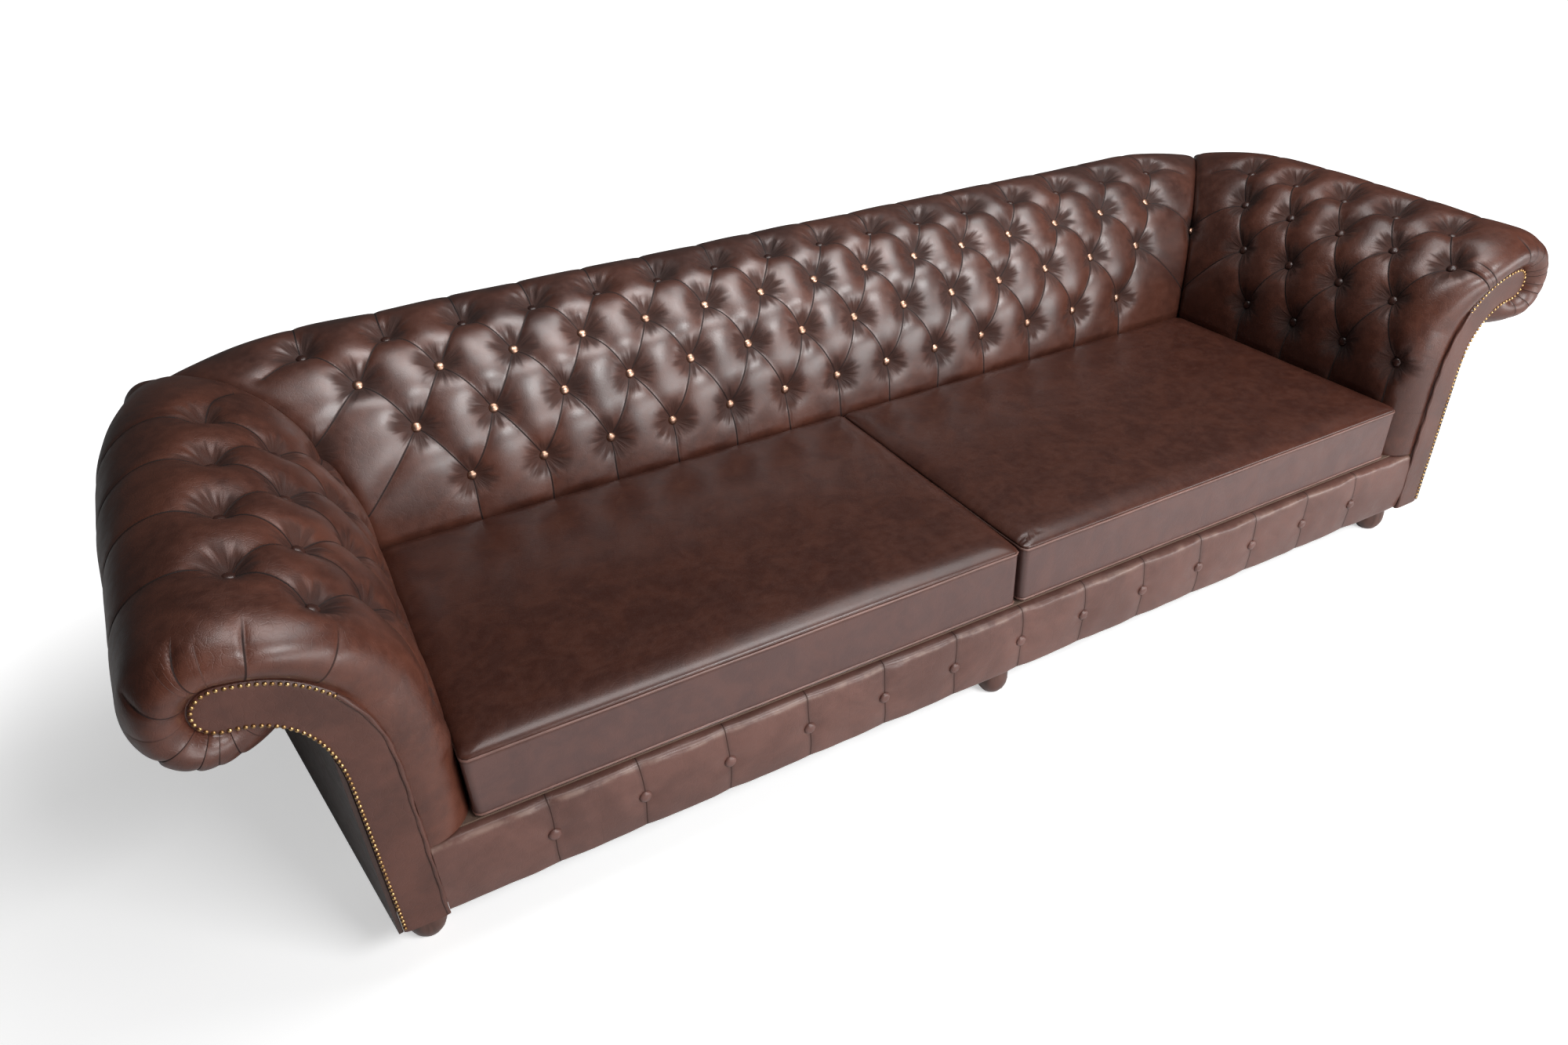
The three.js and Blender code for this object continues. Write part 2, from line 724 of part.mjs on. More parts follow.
function addNailStrips() {
  const base = facingFront - gap;
  const path = pathCurve(edgePath(nailInset), base);
  const length = path.getLength();
  const count = Math.floor(length / nailPitch);
  const front = base - nailTapeThickness;
  const tapePoints = [];
  const back = [];
  for (let i = 0; i <= count; i += 1) {
    const here = path.getPointAt(i / count);
    const next = path.getPointAt(Math.min((i + 0.5) / count, 1));
    const before = path.getPointAt(Math.max((i - 0.5) / count, 0));
    const dir = next.sub(before).normalize();
    const side = new THREE.Vector2(-dir.z, dir.x).multiplyScalar(nailTapeWidth / 2);
    tapePoints.push(new THREE.Vector2(here.x + side.x, here.z + side.y));
    back.unshift(new THREE.Vector2(here.x - side.x, here.z - side.y));
  }
  const tapeShape = new THREE.Shape([...tapePoints, ...back]);
  const tape = new THREE.ExtrudeGeometry(tapeShape,
    { depth: nailTapeThickness, bevelEnabled: false }).rotateX(Math.PI / 2).translate(0, base, 0);
  let strip = toSolid(tape);
  const dome = new THREE.ConeGeometry(nailRadius, nailHeight, nailSides);
  for (let i = 0; i < count; i += 1) {
    const { x, z } = path.getPointAt((i + 0.5) / count);
    const nail = dome.clone().rotateX(Math.PI).translate(x, front - nailHeight / 2 + gap, z);
    strip = strip.add(toSolid(nail));
  }
  addPair('nail_trim', toGeometry(strip), brass);
}

// Outside panels: flat boards under leather that close the arms and the back below the rolls
function rollUnderside(u) {
  return hookHeight - Math.sqrt(rollRadius ** 2 - Math.min(Math.abs(u - hookCentre), rollRadius) ** 2);
}

function addOutsidePanels() {
  const steps = curveSteps;
  const start = boardFront - facingThickness / 2;
  const end = outsideBack;
  const run = Math.hypot(end - start, (end - start) * splaySlope);
  const top = [];
  for (let i = 0; i <= steps; i += 1) {
    const y = THREE.MathUtils.lerp(start, end, i / steps);
    const inner = rollUnderside(outsideInnerX(y) - half);
    const outer = rollUnderside(outsideInnerX(y) + outsideThickness - half);
    top.push(new THREE.Vector2((i / steps) * run, Math.min(inner, outer) - 2 * gap));
  }
  const shape = new THREE.Shape([
    new THREE.Vector2(0, footHeight), new THREE.Vector2(run, footHeight), ...top.reverse()]);
  const panel = new THREE.ExtrudeGeometry(shape, { depth: outsideThickness, bevelEnabled: false })
    .rotateX(Math.PI / 2)
    .rotateZ(Math.PI / 2 - Math.atan(splaySlope))
    .translate(outsideInnerX(start), start, 0);
  const board = armExtrusion(scrollOutline(scrollHalf + gap, 0), -overrun, railFront);
  addPair('outside_arm_panel', toGeometry(toSolid(panel).subtract(toSolid(board))), leather);
  const x = outsideInnerX(bottomRailBack) - gap;
  const v = outsideBack - seatDepth;
  const height = Math.min(rollUnderside(v), rollUnderside(v - outsideThickness)) - gap;
  addPiece('outside_back_panel', boxBetween(
    [-x, bottomRailBack + gap, footHeight], [x, outsideBack, height]), leather);
}

// Loose seat cushions: crowned boxes whose sides draw in between their corners
function cushionPlace(cell, axis, size) {
  const last = cushionCells[axis];
  if (cell === 0 || cell === last) return (cell / last) * size;
  return cushionEdge + ((cell - 1) / (last - 2)) * (size - 2 * cushionEdge);
}

function cushionGeometry(left, right, front, back) {
  const cushion = new THREE.BoxGeometry(1, 1, 1, ...cushionCells);
  const { position } = cushion.attributes;
  const size = [right - left, back - front, cushionThickness];
  const bow = (share) => 1 - share ** 2;
  for (let i = 0; i < position.count; i += 1) {
    const shares = [position.getX(i), position.getY(i), position.getZ(i)];
    const at = shares.map((share, axis) => (
      cushionPlace(Math.round((share + 1 / 2) * cushionCells[axis]), axis, size[axis])
    ));
    const [sx, sy, sz] = at.map((place, axis) => (2 * place) / size[axis] - 1);
    const [faceX, faceY, faceZ] = [sx, sy, sz].map((share) => Math.trunc(share));
    const tuck = faceZ === 0 ? 0 : cushionTuck;
    const sag = Math.sqrt(bow(sz)) * cushionDraw;
    const drawX = faceX * (sag * bow(sy) + tuck);
    const drawY = faceY * (sag * bow(sx) + tuck);
    const crown = Math.max(sz, 0) * cushionCrown * Math.sqrt(bow(sx) * bow(sy));
    const drop = faceZ > 0 && (faceX !== 0 || faceY !== 0) ? cushionTuck : 0;
    const z = deckTop + gap + at[2] + crown - drop;
    position.setXYZ(i, left + at[0] - drawX, front + at[1] - drawY, z);
  }
  return toGeometry(toSolid(cushion));
}

function addCushions() {
  const cushion = cushionGeometry(
    cushionSplit / 2, half - cushionSideGap, cushionFront, seatDepth - cushionSideGap);
  addPair('seat_cushion', cushion, leather);
}

addSeatFrame();
addCornerBlocks();
addScrollBoards();
addSeatDeck();
addDustCover();
addFeet();
addRailCover();
addRailButtons();
addPiece('right_arm_pad', armPad(rightArmRows, rightArmStart, rightArmPitch), leather);
addPiece('left_arm_pad', mirrored(armPad(leftArmRows, leftArmStart, leftArmPitch)), leather);
addPiece('back_pad', backPad(), leather);
addOutsidePanels();
addFacings();
addNailStrips();
addCushions();

// The origin is the middle of the underside of the whole sofa
sofa.updateMatrixWorld(true);
const extent = new THREE.Box3().setFromObject(sofa);
sofa.position.y = -(extent.min.y + extent.max.y) / 2;

export default sofa;
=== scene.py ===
# %% [markdown]
# This lesson dresses a long rolled-arm sofa in leather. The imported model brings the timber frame, the deck
# and plain solids for the upholstery. Here each soft piece gets its real surface: buttoned diamonds with
# pleats, loose box cushions, a buttoned rail, scroll facings with brass nails, and turned feet. The scene
# is in metres: the seat's middle is x = 0, the front faces -Y, and +Z is up. Lengths of the upholstery are
# written in millimetres, as on a workshop drawing, and multiplied by MM on their way into a mesh.

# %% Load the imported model
import json
import math
import bpy
import numpy as np
from mathutils import Matrix, Vector


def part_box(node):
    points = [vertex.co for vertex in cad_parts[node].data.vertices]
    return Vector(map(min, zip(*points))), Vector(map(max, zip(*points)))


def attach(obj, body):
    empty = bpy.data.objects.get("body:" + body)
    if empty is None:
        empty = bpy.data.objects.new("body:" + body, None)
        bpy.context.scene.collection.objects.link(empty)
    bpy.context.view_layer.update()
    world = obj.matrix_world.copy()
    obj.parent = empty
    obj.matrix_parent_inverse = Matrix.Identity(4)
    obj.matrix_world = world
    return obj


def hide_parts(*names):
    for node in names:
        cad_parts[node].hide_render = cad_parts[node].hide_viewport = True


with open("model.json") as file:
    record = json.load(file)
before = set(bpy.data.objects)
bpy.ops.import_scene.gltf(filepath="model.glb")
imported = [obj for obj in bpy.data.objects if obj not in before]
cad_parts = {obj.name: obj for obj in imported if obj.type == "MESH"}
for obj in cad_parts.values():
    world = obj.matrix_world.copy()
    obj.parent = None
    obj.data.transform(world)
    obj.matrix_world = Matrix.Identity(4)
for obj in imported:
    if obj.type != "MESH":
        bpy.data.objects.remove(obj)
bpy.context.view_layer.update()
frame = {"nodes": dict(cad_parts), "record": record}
scene = bpy.context.scene
MM = 0.001
SIDES = ((1, "right"), (-1, "left"))
front_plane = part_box("right_arm_pad")[0][1]
front_mm = front_plane / MM
print("front plane of the pads at y =", round(front_plane, 4))

# %% [markdown]
# The camera stands where the photographer stood: to the front left of the sofa and well above it. Its place
# and angles came from fitting the buttons and edges of this model to the same points in the picture. A
# camera placed by eye gives a pretty view too, but then no length in the render can be compared with the
# picture.

# %% Camera
yaw, pitch, roll = (math.radians(angle) for angle in (-26.754, -32.862, -2.869))
ahead = Vector((math.sin(-yaw) * math.cos(pitch), math.cos(-yaw) * math.cos(pitch), math.sin(pitch)))
level = Vector((math.cos(-yaw), -math.sin(-yaw), 0))
over = level.cross(ahead)
right = math.cos(roll) * level + math.sin(roll) * over
up = math.cos(roll) * over - math.sin(roll) * level
eye = Vector((-1.155963, front_plane - 1.267451, 1.556344))
lens = bpy.data.cameras.new("photo_camera")
lens.lens = 24.4205
lens.sensor_width = 36
camera = bpy.data.objects.new("photo_camera", lens)
scene.collection.objects.link(camera)
camera.matrix_world = Matrix.Translation(eye) @ Matrix((right, up, -ahead)).transposed().to_4x4()
scene.camera = camera
scene.view_settings.view_transform = "Standard"
print("camera at", [round(value, 3) for value in eye])

# %% [markdown]
# A material is a tree of small nodes, each of which does one sum. Nodes can be placed by hand in the
# editor, but in text they can be read, repeated and changed in one place. Written out in full every node
# takes several lines, so a few helpers come first. One adds a node and fills its inputs, and the rest add
# the kinds that are used most.

# %% Helpers for shader nodes
def fill(tree, node, inputs):
    for key, value in inputs.items():
        socket = node.inputs[key]
        if isinstance(value, bpy.types.NodeSocket):
            tree.links.new(value, socket)
        elif socket.type == "RGBA":
            socket.default_value = (*value, 1)
        else:
            socket.default_value = value


def add_node(tree, kind, inputs=None, **settings):
    node = tree.nodes.new(kind)
    for name, value in settings.items():
        setattr(node, name, value)
    fill(tree, node, inputs or {})
    return node


def math_node(tree, operation, *values, clamp=False):
    inputs = dict(enumerate(values))
    return add_node(tree, "ShaderNodeMath", inputs, operation=operation, use_clamp=clamp).outputs[0]


def ramp_between(tree, value, low, high, to_low=0.0, to_high=1.0):
    inputs = {"Value": value, "From Min": low, "From Max": high, "To Min": to_low, "To Max": to_high}
    return add_node(tree, "ShaderNodeMapRange", inputs, interpolation_type="SMOOTHSTEP").outputs["Result"]


def mix_colours(tree, factor, first, second):
    return add_node(tree, "ShaderNodeMix", {0: factor, 6: first, 7: second}, data_type="RGBA").outputs[2]


def noise(tree, place, scale, detail, output="Fac", **more):
    inputs = {"Vector": place, "Scale": scale, "Detail": detail, **more}
    return add_node(tree, "ShaderNodeTexNoise", inputs).outputs[output]


def bump(tree, height, strength, distance):
    inputs = {"Height": height, "Strength": strength, "Distance": distance}
    return add_node(tree, "ShaderNodeBump", inputs).outputs["Normal"]


def object_place(tree):
    return add_node(tree, "ShaderNodeTexCoord").outputs["Object"]


def new_material(name):
    material = bpy.data.materials.new(name)
    material.use_nodes = True
    return material, material.node_tree


# %% [markdown]
# A product studio is a white paper sweep. The floor is a wide pale plane that takes the sofa's shadow. It
# glows for the camera only, more so away from the sofa, so that it reads as white paper and still keeps the
# shadow; the weaker glow in an oval round the sofa is a painted shadow that darkens the floor near it. The
# world behind it is treated alike: white to the camera, but a weak lamp. An empty white world would leave the
# sofa floating, and a bright one would wash out the leather.

# %% Floor and backdrop
SHADOW_OVAL = (1.9, 1.1)


def seen_by_camera(tree):
    path = add_node(tree, "ShaderNodeLightPath")
    return math_node(tree, "MAXIMUM", path.outputs["Is Camera Ray"], path.outputs["Is Transmission Ray"])


def paper_material():
    material, tree = new_material("white_paper")
    tree.nodes.clear()
    shrink = (1 / SHADOW_OVAL[0], 1 / SHADOW_OVAL[1], 0)
    oval = add_node(tree, "ShaderNodeVectorMath", {0: object_place(tree), 1: shrink}, operation="MULTIPLY")
    away = add_node(tree, "ShaderNodeVectorMath", {0: oval.outputs[0]}, operation="LENGTH")
    # Near the sofa the glow falls to half: a painted shadow round the sofa.
    level = ramp_between(tree, away.outputs["Value"], 0.85, 1.5, 0.5, 1.0)
    strength = math_node(tree, "MULTIPLY", seen_by_camera(tree), level)
    paper = add_node(tree, "ShaderNodeBsdfDiffuse", {"Color": (0.9, 0.9, 0.9)})
    glow = add_node(tree, "ShaderNodeEmission", {"Strength": strength})
    both = add_node(tree, "ShaderNodeAddShader", {0: paper.outputs[0], 1: glow.outputs[0]})
    add_node(tree, "ShaderNodeOutputMaterial", {"Surface": both.outputs[0]})
    return material


bpy.ops.object.select_all(action="DESELECT")
bpy.ops.mesh.primitive_plane_add(size=60)
floor = bpy.context.object
floor.name = "studio_floor"
floor.data.materials.append(paper_material())

world = bpy.data.worlds.new("studio_world")
world.use_nodes = True
scene.world = world
sky = world.node_tree
strength = ramp_between(sky, seen_by_camera(sky), 0, 1, 0.05, 1.0)
fill(sky, sky.nodes["Background"], {"Color": (1, 1, 1), "Strength": strength})
print("floor and backdrop ready")

# %% [markdown]
# Three softboxes light the leather: a long low one at the right front, a small one high in front, and one
# above that opens the shadows. They are area lamps, which the camera doesn't see. A reflector above the
# seat gives the front of the cushions a bright band. It is a fourth lamp that only shows in reflections,
# because as a real lamp it would wipe out the shadow on the floor. A photographed surrounding would light
# it all at once, but then no single highlight could be moved.

# %% Lamps
def add_softbox(name, place, aim, size, power):
    lamp = bpy.data.lights.new(name, "AREA")
    lamp.shape = "RECTANGLE"
    lamp.size, lamp.size_y = size
    lamp.energy = power
    stand = bpy.data.objects.new(name, lamp)
    scene.collection.objects.link(stand)
    stand.location = place
    stand.rotation_euler = (Vector(aim) - Vector(place)).to_track_quat("-Z", "Y").to_euler()
    stand.visible_camera = False
    return stand


add_softbox("low_softbox", (2.7, -4.7, 1.0), (0.6, 0, 0.55), (6.4, 1.5), 228)
add_softbox("front_softbox", (0.9, -3.4, 3.3), (-0.2, 0, 0.4), (1.9, 0.9), 125)
add_softbox("fill_softbox", (1.5, -0.2, 3.9), (0.2, 0, 0.3), (2.6, 1.6), 62)
gloss_card = add_softbox("gloss_card", (0.0, -0.6, 3.9), (0.1, -0.4, 0.3), (2.3, 1.3), 75)
gloss_card.visible_diffuse = False
print("lamps ready")

# %% [markdown]
# Dyed hide is not one colour. It has darker and redder clouds, pores a few tenths of a millimetre wide, and
# a net of fine creases. One node group makes these for every leather on the sofa, and puts out a colour, a
# roughness and a height. Each leather then sets its own two tones and how strong its creases are. A picture
# of hide would show the same cloud again on every piece, while noise never repeats.

# %% Leather node group
def new_group(name, inputs, outputs):
    tree = bpy.data.node_groups.new(name, "ShaderNodeTree")
    for label, value in inputs.items():
        kind = "NodeSocketFloat" if isinstance(value, float) else "NodeSocketColor"
        tree.interface.new_socket(label, in_out="INPUT", socket_type=kind).default_value = value
    for label in outputs:
        kind = "NodeSocketColor" if label == "Color" else "NodeSocketFloat"
        tree.interface.new_socket(label, in_out="OUTPUT", socket_type=kind)
    return tree, add_node(tree, "NodeGroupInput").outputs


def hide_group():
    tree, given = new_group("hide_surface", {
        "Dark Tone": (0.03, 0.012, 0.008, 1), "Warm Tone": (0.09, 0.035, 0.02, 1), "Cloud Scale": 6.0,
        "Crease Depth": 0.25, "Sheen Level": 0.36}, ["Color", "Roughness", "Height"])
    place = object_place(tree)
    clouds = noise(tree, place, given["Cloud Scale"], 5, Roughness=0.62, Distortion=0.6)
    flecks = noise(tree, place, 55, 4)
    tone = ramp_between(tree, clouds, 0.33, 0.68)
    fine = ramp_between(tree, flecks, 0.3, 0.75, -0.18, 0.18)
    tone = math_node(tree, "ADD", tone, fine, clamp=True)
    colour = mix_colours(tree, tone, given["Dark Tone"], given["Warm Tone"])

    pores = add_node(tree, "ShaderNodeTexVoronoi", {"Vector": place, "Scale": 620}).outputs["Distance"]
    warp = noise(tree, place, 30, 3, output="Color")
    bent = add_node(tree, "ShaderNodeVectorMath", {0: warp, 1: (0.03, 0.03, 0.03), 2: place},
                    operation="MULTIPLY_ADD").outputs[0]
    net = add_node(tree, "ShaderNodeTexVoronoi", {"Vector": bent, "Scale": 75}, feature="DISTANCE_TO_EDGE")
    crease = ramp_between(tree, net.outputs["Distance"], 0.0, 0.09)
    crease = math_node(tree, "MULTIPLY", crease, given["Crease Depth"])
    grain = math_node(tree, "MULTIPLY", pores, 0.16)
    waves = ramp_between(tree, clouds, 0.2, 0.8, 0.0, 0.3)
    height = math_node(tree, "ADD", math_node(tree, "ADD", crease, grain), waves)

    gloss = ramp_between(tree, flecks, 0.3, 0.7, -0.05, 0.06)
    roughness = math_node(tree, "ADD", given["Sheen Level"], gloss)
    add_node(tree, "NodeGroupOutput", {"Color": colour, "Roughness": roughness, "Height": height})
    return tree


hide = hide_group()
print("leather group holds", len(hide.nodes), "nodes")

# %% [markdown]
# Where the pad is buttoned, the shader needs to know how far each point is from the nearest fold, pleat and
# button. The pads carry these distances as attributes, in millimetres. Along a fold the cover laps over
# itself, so there is a small step, and a dark line of painted shade is laid at its foot. Wrinkles fan out
# round each button, and the colour round it is darkened as painted shade of its hollow. A mesh fine enough
# to hold such wrinkles would be many times as heavy, so the finest are left to the shader.

# %% Lapped folds
def attribute_parts(tree, name):
    vector = add_node(tree, "ShaderNodeAttribute", attribute_name=name).outputs["Vector"]
    return add_node(tree, "ShaderNodeSeparateXYZ", {0: vector}).outputs


def lap_group():
    tree, given = new_group(
        "lapped_fold", {"Distance": 500.0, "Strength": 0.0, "Side": 0.0}, ["Height", "Line"])
    gap = math_node(tree, "ABSOLUTE", given["Distance"])
    far = math_node(tree, "MULTIPLY", gap, 1 / 7)
    fading = math_node(tree, "DIVIDE", 1.0, math_node(tree, "MULTIPLY_ADD", far, far, 1.0))
    step = math_node(tree, "MULTIPLY", ramp_between(tree, given["Side"], -0.07, 0.07), fading)
    # Line masks the painted shade line at the foot of the fold.
    line = ramp_between(tree, gap, 0.8, 2.6, 1.0, 0.0)
    add_node(tree, "NodeGroupOutput", {
        "Height": math_node(tree, "MULTIPLY", step, given["Strength"]),
        "Line": math_node(tree, "MULTIPLY", line, given["Strength"])})
    return tree


def lap(tree, distance, strength, side):
    inputs = {"Distance": distance, "Strength": strength, "Side": side}
    return add_node(tree, "ShaderNodeGroup", inputs, node_tree=lapped_fold).outputs


lapped_fold = lap_group()
print("lap group holds", len(lapped_fold.nodes), "nodes")

# %% [markdown]
# Round a button the hide is drawn together, and its wrinkles run outwards like spokes. A noise that is read
# by direction instead of by place makes such spokes, because it stays the same along each of them. The same
# noise feathers the rim of the dark star of painted shade that is laid round the button.

# %% Marks of the tufting
SPOKES = 2.8
# The star is painted shade round each button: its reach, fade and feathering, in mm.
SHADE_STAR_REACH, SHADE_STAR_FADE, SHADE_STAR_FEATHER = 27.0, 56.0, 22.0


def wrinkle_swing(tree, across, along, phase, reach):
    along_squared = math_node(tree, "MULTIPLY", along, along)
    straight = math_node(tree, "SQRT", math_node(tree, "MULTIPLY_ADD", across, across, along_squared))
    turn = add_node(tree, "ShaderNodeCombineXYZ", {
        0: math_node(tree, "MULTIPLY", math_node(tree, "DIVIDE", across, straight), SPOKES),
        1: math_node(tree, "MULTIPLY", math_node(tree, "DIVIDE", along, straight), SPOKES),
        2: math_node(tree, "MULTIPLY_ADD", phase, 7.0, math_node(tree, "MULTIPLY", reach, 0.014))})
    return ramp_between(tree, noise(tree, turn.outputs[0], 1, 2), 0.34, 0.66, -0.5, 0.5)


def tuft_marks(tree, colour, height):
    seam, lip, strength = attribute_parts(tree, "fold_mark")
    pleat, pleat_strength, reach = attribute_parts(tree, "pleat_mark")
    across, along, phase = attribute_parts(tree, "button_offset")
    fold_height, fold_line = lap(tree, seam, strength, lip)
    pleat_height, pleat_line = lap(tree, pleat, pleat_strength, math_node(tree, "MULTIPLY", pleat, 0.1))
    height = math_node(tree, "MULTIPLY_ADD", fold_height, 1.2, height)
    height = math_node(tree, "MULTIPLY_ADD", pleat_height, 1.1, height)
    line = math_node(tree, "MAXIMUM", fold_line, pleat_line)

    swing = wrinkle_swing(tree, across, along, phase, reach)
    begins = ramp_between(tree, reach, 10.0, 24.0)
    ends = ramp_between(tree, reach, 28.0, 60.0, 1.0, 0.0)
    fan = math_node(tree, "MULTIPLY", begins, ends)
    height = math_node(tree, "MULTIPLY_ADD", math_node(tree, "MULTIPLY", fan, swing), 1.5, height)
    feathered = math_node(tree, "MULTIPLY_ADD", swing, SHADE_STAR_FEATHER, reach)
    hollow = ramp_between(tree, feathered, SHADE_STAR_REACH, SHADE_STAR_FADE, 1.0, 0.0)
    # The fold lines and the star round each button are painted shade: the colour goes towards near black
    # there.
    fold_line_painted_shade = math_node(tree, "MULTIPLY", line, 0.9)
    shade = math_node(tree, "MAXIMUM", math_node(tree, "MULTIPLY", hollow, 0.5), fold_line_painted_shade)
    colour = mix_colours(tree, shade, colour, (0.01, 0.003, 0.002))
    return colour, height, math_node(tree, "SUBTRACT", 1.0, math_node(tree, "MAXIMUM", hollow, line))


print("the dark stars reach", SHADE_STAR_FADE, "mm")

# %% [markdown]
# The front rail is handled and kicked more than any other place. Its top edge is scuffed pale, and the
# short folds at its buttons get a dark line with a fading band beside it, both painted shade. Scuffs could be
# painted by hand on the mesh. Here the edge is known from the rail's shape, so an attribute says where it is
# and a noise breaks it up.

# %% Marks of the rail
def rail_marks(tree, colour, height):
    seam, wear, _ = attribute_parts(tree, "rail_mark")
    gap = math_node(tree, "ABSOLUTE", seam)
    line = ramp_between(tree, gap, 0.5, 1.6, 1.0, 0.0)
    fading = ramp_between(tree, gap, 1.0, 9.0, 0.3, 0.0)
    scuffs = ramp_between(tree, noise(tree, object_place(tree), 38, 4), 0.38, 0.64)
    scuffed = math_node(tree, "MULTIPLY", wear, scuffs)
    colour = mix_colours(tree, math_node(tree, "MULTIPLY", scuffed, 0.5), colour, (0.3, 0.2, 0.16))
    # Painted shade: a dark line in each fold of the rail and a fading band beside it.
    shade = math_node(tree, "MAXIMUM", math_node(tree, "MULTIPLY", line, 0.8), fading)
    colour = mix_colours(tree, shade, colour, (0.02, 0.008, 0.006))
    height = math_node(tree, "MULTIPLY_ADD", line, -0.9, height)
    height = math_node(tree, "MULTIPLY_ADD", scuffed, 0.5, height)
    return colour, height, math_node(tree, "SUBTRACT", 1.0, line)


# %% [markdown]
# The border of a seat cushion is the upright strip below its top panel. Its colour is mixed a little towards
# pale grey, a painted sheen, and its coat is thinner, so it is duller than the panel. A second material would
# need a cut through the mesh at the seam. One attribute that goes from 0 on the panel to 1 on the border does
# the same with a soft change.

# %% Painted sheen of the cushion border
def border_sheen_marks(tree, colour, height):
    border, _, _ = attribute_parts(tree, "border_mark")
    # A painted sheen: the border's colour is mixed a little towards pale grey.
    colour = mix_colours(tree, math_node(tree, "MULTIPLY", border, 0.14), colour, (0.32, 0.24, 0.24))
    return colour, height, math_node(tree, "MULTIPLY_ADD", border, -0.1, 1.0)


# %% [markdown]
# All leathers come from one function, which joins the hide group and a piece's own marks to the standard
# shader. A clear coat over the grain stands for the wax: it gives the leather its second, sharper shine.
# The tufted pads are the most polished, the outside panels the darkest and dullest, their dark tone a painted
# shade of the sofa's shadow side, and the piping the palest. Separate node trees for every leather would work
# too, but a change of the grain would then have to be made nine times.

# %% Leather materials
def leather(name, dark, warm, sheen, crease, cloud=6.0, marks=None, relief=0.55, polish=0.3, gloss=0.28,
            shine=0.3):
    material, tree = new_material(name)
    surface = add_node(tree, "ShaderNodeGroup", {
        "Dark Tone": dark, "Warm Tone": warm, "Sheen Level": sheen, "Crease Depth": crease,
        "Cloud Scale": cloud}, node_tree=hide)
    colour, roughness, height = surface.outputs
    coat = polish
    if marks is not None:
        colour, height, open_skin = marks(tree, colour, height)
        coat = math_node(tree, "MULTIPLY", open_skin, polish)
        matt = math_node(tree, "SUBTRACT", 1.0, open_skin)
        roughness = math_node(tree, "MULTIPLY_ADD", matt, 0.35, roughness)
    fill(tree, tree.nodes["Principled BSDF"], {
        "Base Color": colour, "Roughness": roughness, "Normal": bump(tree, height, relief, MM),
        "Specular IOR Level": shine, "Coat Weight": coat, "Coat Roughness": gloss})
    return material


TUFT_DARK = (0.058, 0.0178, 0.0108)
tufted_leather = leather("tufted_leather", TUFT_DARK, (0.112, 0.036, 0.021), 0.42, 0.18, 5.0,
                         marks=tuft_marks, relief=0.8, polish=0.42, gloss=0.3)
back_leather = leather("back_leather", TUFT_DARK, (0.108, 0.034, 0.0195), 0.42, 0.12, 5.0,
                       marks=tuft_marks, relief=0.7, polish=0.95, gloss=0.34, shine=0.45)
cushion_leather = leather("cushion_leather", (0.05, 0.0145, 0.0088), (0.074, 0.0233, 0.0138), 0.42, 0.2, 15.0,
                          marks=border_sheen_marks, relief=0.45, polish=0.5, gloss=0.24, shine=0.2)
rail_leather = leather("rail_leather", (0.088, 0.037, 0.0285), (0.13, 0.057, 0.044), 0.44, 0.22,
                       marks=rail_marks)
panel_leather = leather("panel_leather", (0.064, 0.0235, 0.0165), (0.1, 0.037, 0.0255), 0.42, 0.22)
# The outside leather's very dark tone is painted shade of the sofa's shadow side.
outside_leather_painted_shade = leather("outside_leather_painted_shade", (0.024, 0.011, 0.0085), (0.04, 0.018, 0.0135), 0.5, 0.22)
rail_button_leather = leather("rail_button_leather", (0.1, 0.044, 0.035), (0.15, 0.07, 0.057), 0.4, 0.15)
dark_leather = leather("button_leather", (0.035, 0.012, 0.009), (0.06, 0.022, 0.015), 0.36, 0.15)
piping_leather = leather("piping_leather", (0.15, 0.075, 0.06), (0.21, 0.108, 0.088), 0.4, 0.1)
print("the cushions' leather holds", len(cushion_leather.node_tree.nodes), "nodes")

# %% [markdown]
# The nails are plain aged brass, brighter on the domes and browner where polish never reaches. The tufting
# buttons have the warm, coppery shine of metallised leather. Both are full metals with a noise that mixes
# two tones and two roughnesses. On heads this small a modelled dent would not show.

# %% Metals
def metal(name, bright, dull, low, high):
    material, tree = new_material(name)
    tarnish = noise(tree, object_place(tree), 130, 3)
    fill(tree, tree.nodes["Principled BSDF"], {
        "Base Color": mix_colours(tree, ramp_between(tree, tarnish, 0.35, 0.65), bright, dull),
        "Roughness": ramp_between(tree, tarnish, 0.3, 0.7, low, high), "Metallic": 1})
    return material


brass = metal("aged_brass", (0.66, 0.44, 0.2), (0.3, 0.17, 0.07), 0.24, 0.42)
copper = metal("copper_button", (0.5, 0.3, 0.22), (0.34, 0.19, 0.13), 0.28, 0.42)
print("metals:", brass.name, copper.name)

# %% [markdown]
# The frame is sawn beech and the feet are stained and waxed. Wood fibres are long one way and fine the
# other two, so the coordinates are stretched before they reach the noise. The deck felt, the webbing and
# the dust cloth below are woven: two crossed sine waves make the threads. A picture of cloth would do it as
# well, but waves are sharp at any distance.

# %% Wood and cloth
def wood(name, dark, pale, low, high, stretch=(6, 60, 60)):
    material, tree = new_material(name)
    turned = add_node(tree, "ShaderNodeMapping", {"Vector": object_place(tree), "Scale": stretch})
    fibres = noise(tree, turned.outputs[0], 1, 6, Distortion=0.8)
    fill(tree, tree.nodes["Principled BSDF"], {
        "Base Color": mix_colours(tree, ramp_between(tree, fibres, 0.3, 0.7), dark, pale),
        "Roughness": ramp_between(tree, fibres, 0.3, 0.7, low, high),
        "Normal": bump(tree, fibres, 0.3, 0.4 * MM)})
    return material


